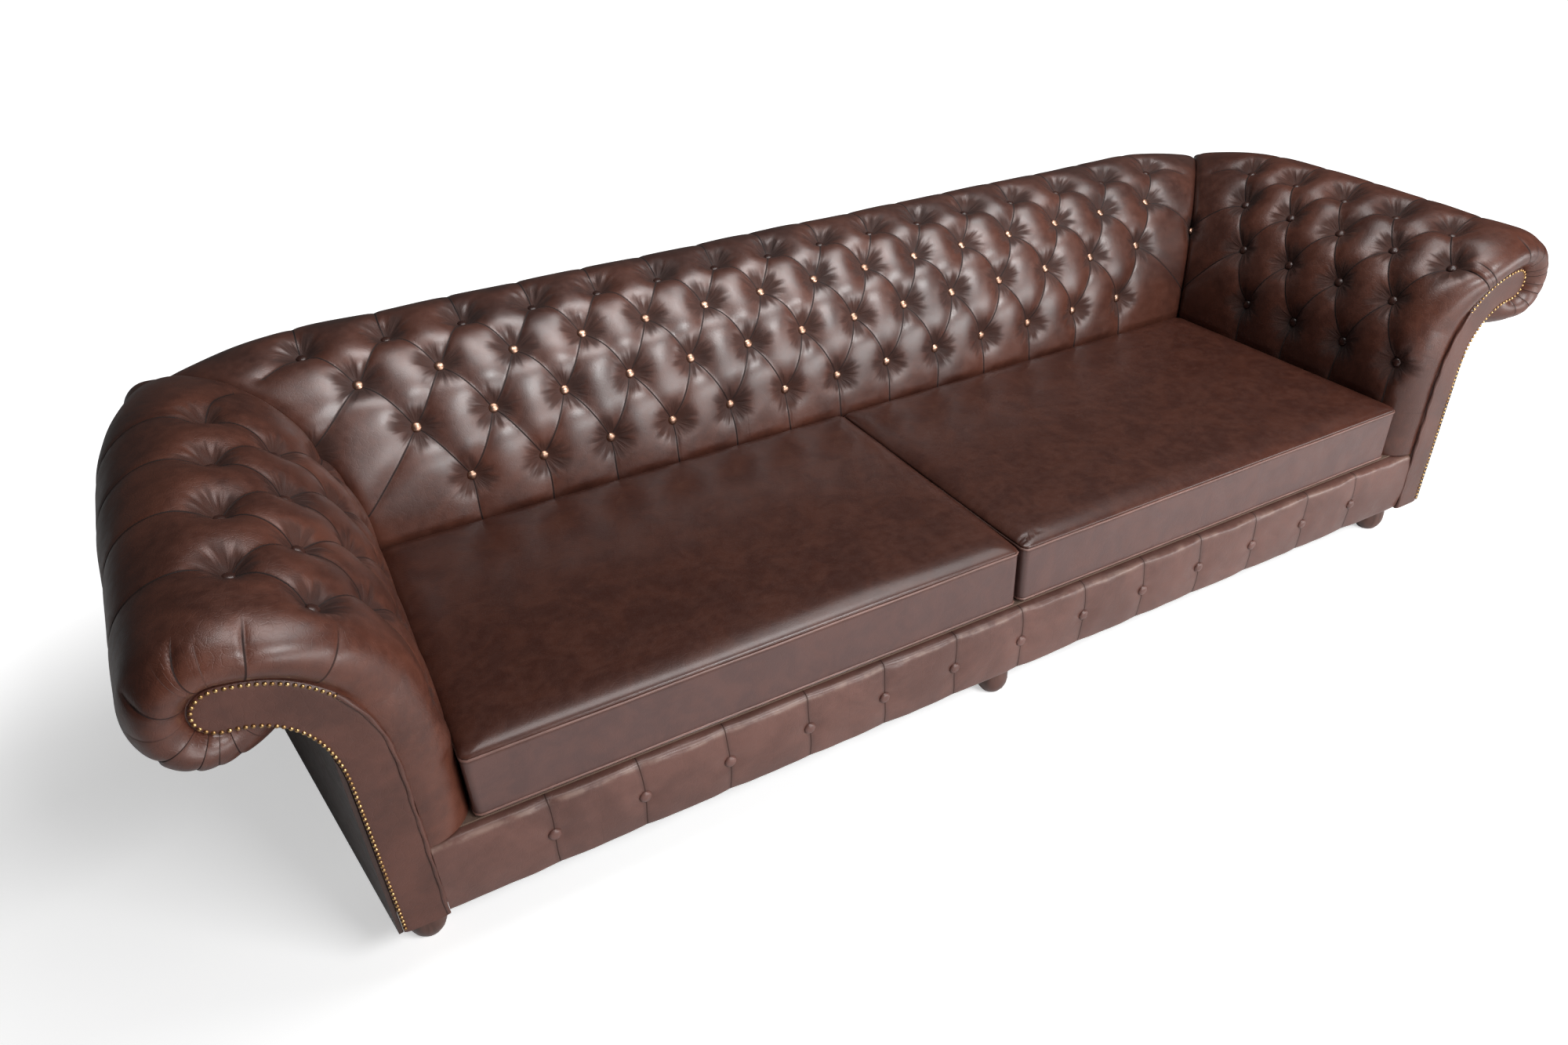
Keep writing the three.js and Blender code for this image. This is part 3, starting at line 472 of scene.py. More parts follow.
def woven(name, thread, shadow, pitch):
    material, tree = new_material(name)
    parts = add_node(tree, "ShaderNodeSeparateXYZ", {0: object_place(tree)}).outputs
    rate = 2 * math.pi / pitch
    warp, weft = (math_node(tree, "SINE", math_node(tree, "MULTIPLY", parts[k], rate)) for k in (0, 1))
    cross = math_node(tree, "MULTIPLY", warp, weft)
    fill(tree, tree.nodes["Principled BSDF"], {
        "Base Color": mix_colours(tree, ramp_between(tree, cross, -0.7, 0.7), shadow, thread),
        "Roughness": 0.92, "Normal": bump(tree, cross, 0.5, 0.5 * MM)})
    return material


beech = wood("sawn_beech", (0.36, 0.22, 0.12), (0.55, 0.37, 0.21), 0.6, 0.75)
stained_wood = wood("stained_foot_wood", (0.06, 0.027, 0.02), (0.115, 0.052, 0.04), 0.28, 0.4, (50, 50, 10))
jute = woven("jute_webbing", (0.42, 0.31, 0.18), (0.2, 0.14, 0.08), 3 * MM)
felt = woven("deck_felt", (0.17, 0.105, 0.075), (0.1, 0.06, 0.042), 2 * MM)
cambric = woven("dust_cambric", (0.03, 0.03, 0.032), (0.012, 0.012, 0.013), 1.5 * MM)
print("wood and cloth:", beech.name, stained_wood.name, jute.name, felt.name, cambric.name)

# %% [markdown]
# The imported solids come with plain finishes, one for each slot of the record. Those that stay in sight,
# such as the timber and the deck, get the materials above through one table. Dressing piece by piece would
# be the other way, but the table can't forget one.

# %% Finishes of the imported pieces
finish_of_slot = {
    "tufted_leather": tufted_leather, "cushion_leather": cushion_leather, "panel_leather": panel_leather,
    "rail_leather": rail_leather, "nail_brass": brass, "foot_wood": stained_wood, "frame_wood": beech,
    "webbing": jute, "deck_felt": felt, "dust_cloth": cambric,
}
for part in frame["record"]["subparts"]:
    for place in frame["nodes"][part["node"]].material_slots:
        place.material = finish_of_slot[part["material_slot"]]
print("finishes:", len(finish_of_slot))

# %% [markdown]
# All shapes below are sums of a few simple curves. One holds a number between 0 and 1, one makes such a
# number start and stop softly, and one measures how far each point of a line is from its start. Falloff
# curves can be drawn in the editor too, but a formula says exactly where a bulge begins and ends.

# %% Helpers for shapes
def unit(value):
    return np.clip(value, 0, 1)


def soft(value):
    return value * value * (3 - 2 * value)


def lengths_along(*parts):
    steps = np.sqrt(sum(np.diff(part) ** 2 for part in parts))
    return np.concatenate([[0], np.cumsum(steps)])


print("half way, a soft step is at", soft(unit(0.5)))

# %% [markdown]
# Arms and back share one scroll section. Its middle line goes straight up and then bends outwards into the
# roll. The pad's skin lies at a distance from that line, and from the line's end on it runs round the roll.
# Here u runs outwards from the seat's edge, z runs up, and t is the way along the middle line. The section
# could be a drawn curve, but a formula also gives the way that each point of the skin faces, which hollows
# and buttons need.

# %% Scroll section
SEAT_HALF, SEAT_DEPTH = 1084.0, 690.0
STEM, HOOK_U, HOOK_Z, SCROLL_START = 115.0, 264.0, 637.0, 430.0
SCROLL_HALF, ROLL_RADIUS = 37.5, 131.5
SEAT_PAD, ROLL_PAD, DECK_TOP = 77.5, 94.0, 258.3
CAP_START, CAP_END = math.radians(95), math.radians(-146)
SEAT_TOP = 401.3
handles = np.array([[STEM, SCROLL_START], [STEM, 570.76], [182.05, 629.962], [HOOK_U, HOOK_Z]])
fine = np.linspace(0, 1, 801)[:, None]
hook_points = ((1 - fine) ** 3 * handles[0] + 3 * (1 - fine) ** 2 * fine * handles[1]
               + 3 * (1 - fine) * fine ** 2 * handles[2] + fine ** 3 * handles[3])
hook_lengths = lengths_along(*hook_points.T)
HOOK_LENGTH = hook_lengths[-1]
slopes = np.gradient(hook_points, axis=0)
slopes /= np.hypot(*slopes.T)[:, None]


def middle_line(t):
    inside = np.clip(t, 0, HOOK_LENGTH)
    u = np.interp(inside, hook_lengths, hook_points[:, 0])
    z = np.interp(inside, hook_lengths, hook_points[:, 1]) + np.minimum(t, 0)
    du = np.interp(inside, hook_lengths, slopes[:, 0])
    dz = np.interp(inside, hook_lengths, slopes[:, 1])
    return u, z, -dz, du


def full_offset(t, draw=0.0):
    share = unit(t / HOOK_LENGTH)
    eased = soft(unit((share - 0.35) / 0.65))
    return SCROLL_HALF + SEAT_PAD + (ROLL_PAD - draw - SEAT_PAD) * eased


def skin_point(t, offset):
    u, z, nu, nz = middle_line(t)
    turn = CAP_START - np.maximum(t - HOOK_LENGTH, 0) / ROLL_RADIUS
    round_u, round_z = np.cos(turn), np.sin(turn)
    past = t > HOOK_LENGTH
    u = np.where(past, HOOK_U + offset * round_u, u + offset * nu)
    z = np.where(past, HOOK_Z + offset * round_z, z + offset * nz)
    return u, z, np.where(past, round_u, nu), np.where(past, round_z, nz)


T_BOTTOM = DECK_TOP - SCROLL_START
T_END = HOOK_LENGTH + (CAP_START - CAP_END) * ROLL_RADIUS
t_line = np.linspace(T_BOTTOM, T_END, 2400)
u_line, z_line, _, _ = skin_point(t_line, full_offset(t_line))
arc_line = lengths_along(u_line, z_line)
ARC_END = arc_line[-1]


def arc_at(t):
    return np.interp(t, t_line, arc_line)


def t_at(arc):
    return np.interp(arc, arc_line, t_line)


print("section is", round(ARC_END), "mm round, middle line", round(HOOK_LENGTH), "mm")

# %% [markdown]
# A buttoned pad is planned flat, as an upholsterer marks out the cover: rows of buttons, staggered by half
# a pitch, folds from each button to its neighbours above and below, and straight pleats from the outer rows
# to the edges. The folds between two rows make one zigzag line, which ends at the mitre or fades out in the
# smooth leather. The arms differ in pitch and in count, because each was buttoned by hand. The plan is a
# plain table, so the shape, the shader's marks and the buttons themselves all come from the same places.

# %% Button plans
ROW_T = [43.2, 130.8, 196.4, 256.0]
ROW_ARC = [float(arc_at(t)) for t in ROW_T]
SEAT_LINE_ARC = float(arc_at(SEAT_TOP - SCROLL_START))
BACK_PITCH = 138.7
BACK_ROWS = [(-6, 6), (-6.5, 6.5), (-7, 7), (-7.5, 7.5)]
ARM_PLANS = {
    "right": (492.0, 142.7, [(0, 3), (-0.5, 2.5), (-1, 3), (-1.5, 2.5)]),
    "left": (582.4, 164.2, [(0, 3), (-0.5, 2.5), (0, 3), (-0.5, 2.5)]),
}
CORNER_DEPTH = 26
corner_t = np.array(ROW_T[1])
corner_u = float(skin_point(corner_t, full_offset(corner_t) - CORNER_DEPTH)[0])


def back_place(column):
    return column * BACK_PITCH * (1 + 0.064 * (column / 7.5) ** 2)


def plan_of(rows, place, edge, both_ends):
    plan = {"buttons": [], "zigzags": [], "pleats": [], "rows": []}
    for row, (first, last) in enumerate(rows):
        spots = sorted(float(place(column)) for column in np.arange(first, last + 0.01))
        plan["rows"].append(spots)
        plan["buttons"] += [(p, ROW_ARC[row], row) for p in spots]
    sides = (-1, 1) if both_ends else (1,)
    for side in sides:
        plan["buttons"].append((side * (edge + corner_u), ROW_ARC[1], 1))
    ends = [(-25, SEAT_LINE_ARC + 22), (0, ROW_ARC[1]), (40, 0.5 * (ROW_ARC[2] + ROW_ARC[3]))]
    for row, (inset, end_arc) in enumerate(ends):
        line = [(p, ROW_ARC[row]) for p in plan["rows"][row]]
        line += [(p, ROW_ARC[row + 1]) for p in plan["rows"][row + 1]]
        for side in sides:
            line.append((side * (edge + corner_u + inset), end_arc))
        plan["zigzags"].append(sorted(line))
    plan["pleats"] = [(p, 0.0, ROW_ARC[0]) for p in plan["rows"][0]]
    plan["pleats"] += [(p, ROW_ARC[3], ARC_END) for p in plan["rows"][3]]
    return plan


back_plan = plan_of(BACK_ROWS, back_place, SEAT_HALF, True)
arm_plans = {
    name: plan_of(rows, lambda column: start - column * pitch, SEAT_DEPTH, False)
    for name, (start, pitch, rows) in ARM_PLANS.items()}
BACK_SEED = 11
ARM_SEEDS = {"right": 22, "left": 20}
for name, plan in (("back", back_plan), *arm_plans.items()):
    print(name, "has", len(plan["buttons"]), "buttons")

# %% [markdown]
# The pad's relief is a sum of simple shapes, each a function of the flat place: p along the seat's edge and
# q round the section. First come slow waves, because no two diamonds are stuffed alike, and the folds,
# where the leather of the upper diamond laps over the lower one. A fold is steep below and shallow above,
# and bows a little between its buttons. Sculpting could give the same by hand, but not sixty times alike,
# nor again the same on the next run.

# %% Waves and folds
FAR = 900.0
CROWD_REACH = 10
LAP_ABOVE, LAP_BELOW = 15, 6.5


def slow_waves(p, q, seed):
    phases = np.random.default_rng(seed).uniform(0, 2 * math.pi, (6, 2))
    total = np.zeros_like(p)
    for k, (first, second) in enumerate(phases):
        rate = 0.011 + 0.006 * k
        total += np.sin(p * rate + first + 1.3 * np.sin(q * rate * 1.4 + second)) / (k + 1.5)
    return total


def curve_distance(p, q, start, end, bow):
    share = np.linspace(0, 1, 7)
    curve_p = start[0] + share * (end[0] - start[0])
    curve_q = start[1] + share * (end[1] - start[1]) + bow * 4 * share * (1 - share)
    best = np.full(p.shape, FAR)
    for p0, q0, p1, q1 in zip(curve_p, curve_q, curve_p[1:], curve_q[1:]):
        run, rise = p1 - p0, q1 - q0
        part = unit(((p - p0) * run + (q - q0) * rise) / (run ** 2 + rise ** 2))
        best = np.minimum(best, np.hypot(p - p0 - part * run, q - q0 - part * rise))
    return best, curve_p, curve_q


def zigzag_fields(p, q, line, seed):
    bows = np.random.default_rng(seed).uniform(0.6, 1.4, len(line))
    nearest, crowd = np.full(p.shape, FAR), np.zeros_like(p)
    wide, tight = np.zeros_like(p), np.zeros_like(p)
    whole_p, whole_q = [], []
    for start, end, bow in zip(line, line[1:], bows):
        bow *= (8.0 if end[1] < start[1] else -6.0) * min((end[0] - start[0]) / 60, 1)
        near = (p > start[0] - 120) & (p < end[0] + 120)
        d, curve_p, curve_q = curve_distance(p[near], q[near], start, end, bow)
        nearest[near] = np.minimum(nearest[near], d)
        crowd[near] += np.exp(-d / CROWD_REACH)
        wide[near] += np.exp(-3 * d / LAP_ABOVE)
        tight[near] += np.exp(-3 * d / LAP_BELOW)
        whole_p.append(curve_p)
        whole_q.append(curve_q)
    above = q - np.interp(p, np.concatenate(whole_p), np.concatenate(whole_q))
    past = np.maximum(np.maximum(line[0][0] - p, p - line[-1][0]), 0)
    share = 0.5 + 0.5 * np.tanh(above / (2 + past))
    return nearest, above, past, crowd, share * wide ** (1 / 3) + (1 - share) * tight ** (1 / 3)


def pleat_bend(q, bp, start):
    return bp + 2.5 * np.sin((q - start) / 33 + bp) * unit(np.abs(q - start) / 40)


print("folds are ready")

# %% [markdown]
# At each button the pad is drawn in to a wide smooth hollow, deepest in the top row, which lies on the
# roll, where the stuffing is thickest. Where two hollows meet, the root of their summed squares blends
# them. Above each button the leather gathers into a fan of small ridges, from two sine waves of the
# direction. The function also notes where each point lies from its nearest button, for the shader's
# wrinkles.

# %% Hollows and gathers
LAST_ROW = 3
ROW_DEPTH = np.array([21.0, 21.0, 23.0, 31.0])
ROW_REACH = np.array([31.0, 31.0, 32.0, 36.0])


def hollows_of(plan, p, q, seed):
    reach = np.full(p.shape, 1e6)
    across, along = np.zeros_like(p), np.zeros_like(p)
    phase, hollow, gathers = np.zeros_like(p), np.zeros_like(p), np.zeros_like(p)
    turns = np.random.default_rng(seed).uniform(0, 6.28, len(plan["buttons"]))
    for (bp, bq, row), turn in zip(plan["buttons"], turns):
        dp, dq = p - bp, q - bq
        r = np.hypot(dp, np.where(dq > 0, dq, dq * (1.3 if row == LAST_ROW else 1.05)))
        hollow += (ROW_DEPTH[row] * np.exp(-(r / ROW_REACH[row]) ** 1.55)) ** 2
        nearer = r < reach
        reach = np.where(nearer, r, reach)
        across, along = np.where(nearer, dp, across), np.where(nearer, dq, along)
        phase = np.where(nearer, turn, phase)
        upward = unit(dq / np.maximum(r, 1)) ** 0.7
        angle = np.arctan2(dq, dp)
        streaks = np.sin(9 * angle + turn) + 0.5 * np.sin(15 * angle + 2.3 * turn)
        gathers += (1.5 if row == LAST_ROW else 0.6) * streaks * upward * np.exp(-((r - 30) / 17) ** 2)
    return np.sqrt(hollow), gathers, {"across": across, "along": along, "phase": phase, "reach": reach}


print("hollows", ROW_DEPTH, "mm deep and", ROW_REACH, "mm wide")

# %% [markdown]
# The last function adds it all up. Folds are deepest near a button, where the pull is strongest, and the
# middle of each diamond swells by how far it is from every fold and pleat together. Straight pleats run
# from the outer rows to the edges of the cover. What goes to the shader is the distance to the nearest fold
# and pleat.

# %% Sum of the relief
SWELL_HEIGHT, SWELL_REACH = 4.0, 26
FOLD_PULL, BUTTON_PULL = 4.2, 2.4


def relief_of(plan, p, q, seed):
    shape = p.shape
    p, q = p.ravel(), q.ravel()
    hollow, gathers, marks = hollows_of(plan, p, q, seed)
    seam, pleat = np.full(p.shape, FAR), np.full(p.shape, FAR)
    level, fold, lip, crowd, strength, pleat_strength = (np.zeros_like(p) for _ in range(6))
    pull = FOLD_PULL + BUTTON_PULL * np.exp(-(marks["reach"] / 42) ** 2)
    for k, line in enumerate(plan["zigzags"]):
        d, above, past, near_folds, profile = zigzag_fields(p, q, line, seed + 7 * k)
        level += above > 0
        crowd += near_folds
        fold += (pull + (0.8 if k == 2 else 0)) * profile
        nearer = d < seam
        seam = np.where(nearer, d, seam)
        strength = np.where(nearer, unit(1 - past / 30), strength)
        lip = np.where(nearer, np.sign(above) * np.minimum(d / 10, 2.0) * np.exp(-(d / 14) ** 2), lip)
    for bp, q0, q1 in plan["pleats"]:
        upper = q0 > 1
        start = q0 if upper else q1
        d = p - pleat_bend(q, bp, start)
        inside = unit((q - start) / 12 if upper else (start - q) / 12)
        fade = np.exp(-np.abs(q - start) / 80)
        depth = (1.8 + 4.4 * fade if upper else 2.0 + 4.0 * fade) * inside
        fold += depth * np.exp(-np.abs(d) / np.where(d > 0, 5.0, 11.0))
        crowd += np.exp(-np.abs(d) / CROWD_REACH) * inside
        nearer = np.abs(d) < np.abs(pleat)
        pleat = np.where(nearer, d, pleat)
        pleat_strength = np.where(nearer, inside * unit((36 - np.abs(d)) / 8), pleat_strength)
    edge = np.maximum(-CROWD_REACH * np.log(crowd + 1e-6), 0)
    held = unit((q - SEAT_LINE_ARC + 10) / 20) * unit((ROW_ARC[3] + 110 - q) / 90)
    swell = SWELL_HEIGHT * (1 - np.exp(-(edge / SWELL_REACH) ** 2)) * soft(held)
    softened = fold * np.clip(1 - 0.75 * hollow / 21, 0.1, 1)
    sink = hollow + softened - swell + gathers - 1.1 * slow_waves(p, q, seed)
    marks.update(seam=seam * np.where(level % 2 == 0, 1, -1), lip=lip, strength=strength,
                 pleat=pleat, pleat_strength=pleat_strength)
    return sink.reshape(shape), {name: values.reshape(shape) for name, values in marks.items()}


probe, _ = relief_of(back_plan, np.array([0.0]), np.array([ROW_ARC[0]]), BACK_SEED)
print("the middle button of the back sits", round(float(probe[0]), 1), "mm deep")

# %% [markdown]
# Most pieces here start as a primitive that is filled with vertices, moved point by point, then welded and
# closed. These helpers hold the steps that repeat. Every mesh ends closed, with its faces turned outwards,
# so that it can be printed or weighed as well as seen. A vertex can carry three numbers to the shader as a
# point attribute.

# %% Helpers for meshes
def points_of(piece):
    places = np.empty(len(piece.data.vertices) * 3)
    piece.data.vertices.foreach_get("co", places)
    return places.reshape(-1, 3)


def move_points(piece, places):
    piece.data.vertices.foreach_set("co", (places * MM).ravel())


def mark_points(piece, name, parts):
    layer = piece.data.attributes.new(name, "FLOAT_VECTOR", "POINT")
    layer.data.foreach_set("vector", np.stack(parts, axis=1).astype(np.float32).ravel())


def grid_object(name, columns, rows):
    bpy.ops.object.select_all(action="DESELECT")
    bpy.ops.mesh.primitive_grid_add(x_subdivisions=columns - 1, y_subdivisions=rows - 1, size=1)
    piece = bpy.context.object
    piece.name = name
    places = points_of(piece)
    column = np.rint((places[:, 0] + 0.5) * (columns - 1)).astype(int)
    row = np.rint((places[:, 1] + 0.5) * (rows - 1)).astype(int)
    return piece, column, row


def weld_and_pick_rim(threshold):
    bpy.ops.object.mode_set(mode="EDIT")
    bpy.ops.mesh.select_all(action="SELECT")
    bpy.ops.mesh.remove_doubles(threshold=threshold)
    bpy.ops.mesh.select_all(action="DESELECT")
    bpy.ops.mesh.select_mode(type="EDGE")
    bpy.ops.mesh.select_non_manifold()


def outward_and_smooth(degrees):
    bpy.ops.mesh.select_all(action="SELECT")
    bpy.ops.mesh.normals_make_consistent(inside=False)
    bpy.ops.object.mode_set(mode="OBJECT")
    bpy.ops.object.shade_smooth_by_angle(angle=math.radians(degrees))


def close_skin(piece):
    weld_and_pick_rim(1e-6)
    bpy.ops.mesh.fill_holes(sides=0)
    outward_and_smooth(60)
    print(piece.name, len(piece.data.polygons), "faces")


def declare(piece, material, slot, body, *nodes):
    piece.data.materials.clear()
    piece.data.materials.append(material)
    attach(piece, body)
    if nodes:
        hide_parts(*nodes)


# %% [markdown]
# At the front of an arm the leather turns over towards the scroll panel. There the roll is thinner and
# bulges a little beyond the panel, and near the mitre the rolls of arm and back are drawn in. Three
# functions bend the plain section that way. They could be one curve drawn along the arm, but each is easier
# to judge by itself.

# %% Shape of the roll
FRONT_ROUND = 75.0
BULGE = 27
CORNER_DRAW, CORNER_DRAW_REACH = 42, 300


def corner_draw(to_corner):
    return CORNER_DRAW * unit(1 - to_corner / CORNER_DRAW_REACH) ** 2


def roll_taper(place, t):
    along = unit(place / 620)
    over = unit((t / HOOK_LENGTH - 0.45) / 0.55)
    under = unit((t - HOOK_LENGTH - 260) / 160)
    return ((36 * along - 8 * along ** 3 - 18) - 9 * under * (1 - along)) * soft(over)


def overhang(base, t):
    high = unit((t - 110) / 130) * unit((T_END - 50 - t) / 190)
    forward = BULGE * soft(high)
    start = np.arccos(1 - forward / FRONT_ROUND)
    turn = np.arccos(1 - unit(base / FRONT_ROUND)) * (1 + 2 * start / math.pi) - start
    round_part = FRONT_ROUND - forward - FRONT_ROUND * np.cos(turn)
    flat_part = base - forward * unit(1 - (base - FRONT_ROUND) / 80)
    full = (np.sin(turn) + np.sin(start)) / (1 + np.sin(start))
    return np.where(base < FRONT_ROUND, round_part, flat_part), full


print("the front of the roll is", FRONT_ROUND, "mm round")

# %% [markdown]
# A pad starts as a flat grid. Its columns run along the seat's edge and its rows go round the scroll, so
# each vertex is moved to its place on the section. The last column lies on the mitre, where arm and back
# meet, and the last rows return inside the roll, which closes the skin. Moving vertices in code keeps the
# folds crisp. A cloth simulation with sixty buttons would take minutes, and would round them off.

# %% Rows of a pad
CORE_OFFSET = SCROLL_HALF + 0.6
RETURN_TURNS = np.radians([-146, -105, -60, -15, 30, 70, 95])
RETURN_T = np.array([0.85, 0.7, 0.5, 0.25, 0.0]) * HOOK_LENGTH


def inner_ring():
    round_u = HOOK_U + CORE_OFFSET * np.cos(RETURN_TURNS)
    round_z = HOOK_Z + CORE_OFFSET * np.sin(RETURN_TURNS)
    stem_u, stem_z, _, _ = skin_point(RETURN_T, CORE_OFFSET + 0 * RETURN_T)
    inner_u = np.concatenate([round_u, stem_u, [STEM - CORE_OFFSET]])
    return inner_u, np.concatenate([round_z, stem_z, [DECK_TOP]])


def row_arcs(tufted_step, cap_step):
    hidden = np.linspace(0, SEAT_LINE_ARC - 12, 8)[:-1]
    tufted = np.arange(SEAT_LINE_ARC - 12, ROW_ARC[3] + 60, tufted_step)
    cap = np.arange(tufted[-1] + cap_step, ARC_END, cap_step)
    return np.concatenate([hidden, tufted, cap, [ARC_END]])


print("the skin returns inside the roll over", len(inner_ring()[0]), "rows")

# %% [markdown]
# The place of a vertex along the seat depends on the relief, and the relief on the place, because the
# columns near the mitre spread with the roll. So both are worked out in turn four times, after which
# nothing moves any more. Every grid of values then gets its hidden rows, and its last row repeats the
# first.

# %% Building a pad
MITRE_GAP = 0.4
THINNEST = SCROLL_HALF + 2
UNMARKED = {mark: 500.0 for mark in ("seam", "pleat", "reach", "across", "along")}


def pad_piece(name, plan, base, arcs, edge, stretch_from, seed, creases=None):
    t_rows = t_at(arcs)
    inner_u, inner_z = inner_ring()
    rows = len(arcs) + len(inner_u) + 1
    piece, column, row = grid_object(name, len(base), rows)
    p = np.repeat(base[:, None], len(arcs), axis=1)
    t = np.repeat(t_rows[None, :], len(base), axis=0)
    p, full = (p, 1.0) if creases is None else overhang(p, t)
    side = np.sign(p)
    reference = edge + HOOK_U
    stretch = reference - stretch_from
    place = p.copy()
    for _ in range(4):
        draw = corner_draw(reference - np.abs(place))
        q = arc_at(t) + 0 * place
        sink, marks = relief_of(plan, place, q, seed)
        if creases is not None:
            sink = sink + front_creases(place, q, creases, marks)
        to_mitre = np.abs(reference - np.abs(p)) + 0 * place
        sink = sink + 10 * np.exp(-to_mitre / 13)
        flat = np.where(t > HOOK_LENGTH, ROLL_RADIUS - draw, full_offset(t, draw))
        taper = 0.0 if creases is None else roll_taper(place, t)
        offset = THINNEST + (flat + taper - THINNEST - sink) * full
        u, z, _, _ = skin_point(t, offset)
        beyond = np.maximum(np.abs(p) - stretch_from, 0) / stretch
        place = np.where(np.abs(p) > stretch_from,
                         side * (stretch_from + beyond * (edge + u - MITRE_GAP - stretch_from)), p)
    count = len(arcs)
    grids = {}
    for label, values in {"place": place, "u": u, "z": z, **marks}.items():
        grids[label] = np.full((len(base), rows), UNMARKED.get(label, 0.0))
        grids[label][:, :count] = values
    share = np.clip((np.abs(base) - stretch_from) / stretch, 0, None)
    for k in range(len(inner_u)):
        reach = stretch_from + share * (edge + inner_u[k] - MITRE_GAP - stretch_from)
        grids["u"][:, count + k], grids["z"][:, count + k] = inner_u[k], inner_z[k]
        grids["place"][:, count + k] = np.where(share > 0, np.sign(base) * reach, base)
    for grid in grids.values():
        grid[:, -1] = grid[:, 0]
    return piece, {label: grid[column, row] for label, grid in grids.items()}


print("pads are thinnest at", THINNEST, "mm from the middle line")

# %% [markdown]
# To finish a pad its points go to their places in metres, its marks become three attributes of three
# numbers each, and the skin is welded and closed. Then the piece gets its leather and rides on the frame.

# %% Finishing a pad
PAD_MARKS = {
    "fold_mark": ("seam", "lip", "strength"),
    "pleat_mark": ("pleat", "pleat_strength", "reach"),
    "button_offset": ("across", "along", "phase"),
}


def finish_pad(piece, places, marks, material):
    move_points(piece, np.stack(places, axis=1))
    for name, parts in PAD_MARKS.items():
        mark_points(piece, name, [marks[part] for part in parts])
    close_skin(piece)
    piece.data.materials.append(material)
    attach(piece, "sofa_frame")


print("marks on a pad:", list(PAD_MARKS))

# %% [markdown]
# The back pad runs between the two mitres. From the middle it is laid out in both directions, with a column
# of vertices about every four and a half millimetres. A coarser grid with a subdivision modifier would be
# smaller to write, but it would blur the folds.

# %% Back pad
BACK_COLUMNS = 621
back_base = np.linspace(-(SEAT_HALF + HOOK_U), SEAT_HALF + HOOK_U, BACK_COLUMNS)
back, skin = pad_piece(
    "back_upholstery", back_plan, back_base, row_arcs(4.2, 9.0), SEAT_HALF, 900.0, BACK_SEED)
finish_pad(back, (skin["place"], SEAT_DEPTH + skin["u"] + front_mm, skin["z"]), skin, back_leather)
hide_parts("back_pad")

# %% [markdown]
# At the front the arm's skin turns over into the scroll panel. The leather has to shrink from the wide roll
# to the narrow scroll there, so it is pinched into a few sharp creases, deepest at the panel's edge. Each
# crease is given by its place along the section, its depth, how far back it reaches, and how much it leans.
# A random spread would be shorter to write, but a sofa is known by its own creases.

# %% Arm pads
CREASE_REACH = 17
CREASES = {
    "left": [(187, 3.4, 30, 0.10), (254, 5.0, 34, 0.05), (290, 1.6, 14, -0.1), (323, 5.4, 30, -0.30),
             (360, 1.4, 18, 0.0), (428, 4.4, 26, -0.2), (500, 1.8, 16, 0.1), (572, 5.0, 34, 0.25),
             (632, 4.6, 30, 0.12), (672, 3.0, 22, 0.05), (714, 4.4, 34, 0.0), (765, 3.0, 24, 0.0)],
    "right": [(-62, 1.4, 24, 0.05), (-48, 1.2, 28, -0.05), (197, 4.8, 52, 0.12), (209, 3.4, 30, 0.05),
              (276, 4.2, 18, -0.1), (318, 2.0, 16, 0.1), (372, 4.2, 22, 0.2), (418, 3.4, 26, -0.2),
              (470, 4.4, 28, 0.1), (512, 3.0, 20, 0.0), (566, 5.0, 32, 0.2), (610, 5.0, 26, -0.1),
              (676, 3.6, 32, 0.1)],
}


def front_creases(place, q, creases, marks):
    total = np.zeros_like(place)
    for at_t, depth, reach, lean in creases:
        d = q - float(arc_at(at_t)) - lean * (place - 20) - 2.0 * np.sin(place / 17 + at_t)
        fade = unit((reach - place) / 30)
        narrow = np.exp(-np.abs(d) / np.where(d > 0, 4.5, 10.0))
        total = np.maximum(total, 1.35 * depth * fade * narrow)
        nearer = (fade > 0.02) & (np.abs(d) < CREASE_REACH) & (np.abs(d) < np.abs(marks["pleat"]))
        marks["pleat"] = np.where(nearer, d, marks["pleat"])
        held = fade * unit((CREASE_REACH - np.abs(d)) / 6) * min(depth / 4, 1)
        marks["pleat_strength"] = np.where(nearer, held, marks["pleat_strength"])
    return total


bend = FRONT_ROUND * (1 - np.cos(np.linspace(0, math.pi / 2, 25)))
arm_base = np.concatenate([bend[:-1], np.linspace(FRONT_ROUND, SEAT_DEPTH + HOOK_U, 206)])
for side, name in SIDES:
    arm, skin = pad_piece(
        f"{name}_arm_upholstery", arm_plans[name], arm_base, row_arcs(3.2, 3.6), SEAT_DEPTH, 560.0,
        ARM_SEEDS[name], CREASES[name])
    places = (side * (SEAT_HALF + skin["u"]), skin["place"] + front_mm, skin["z"])
    finish_pad(arm, places, skin, tufted_leather)
    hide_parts(f"{name}_arm_pad")

# %% [markdown]
# Buttons, nails and feet are all round, so one function turns them as on a lathe: it starts from a disc,
# extrudes ring after ring upwards, and widens or narrows each. A spin of a drawn profile gives the same.
# The second function lays copies of a small piece at many places and joins them, because sixty single
# objects are hard to handle.

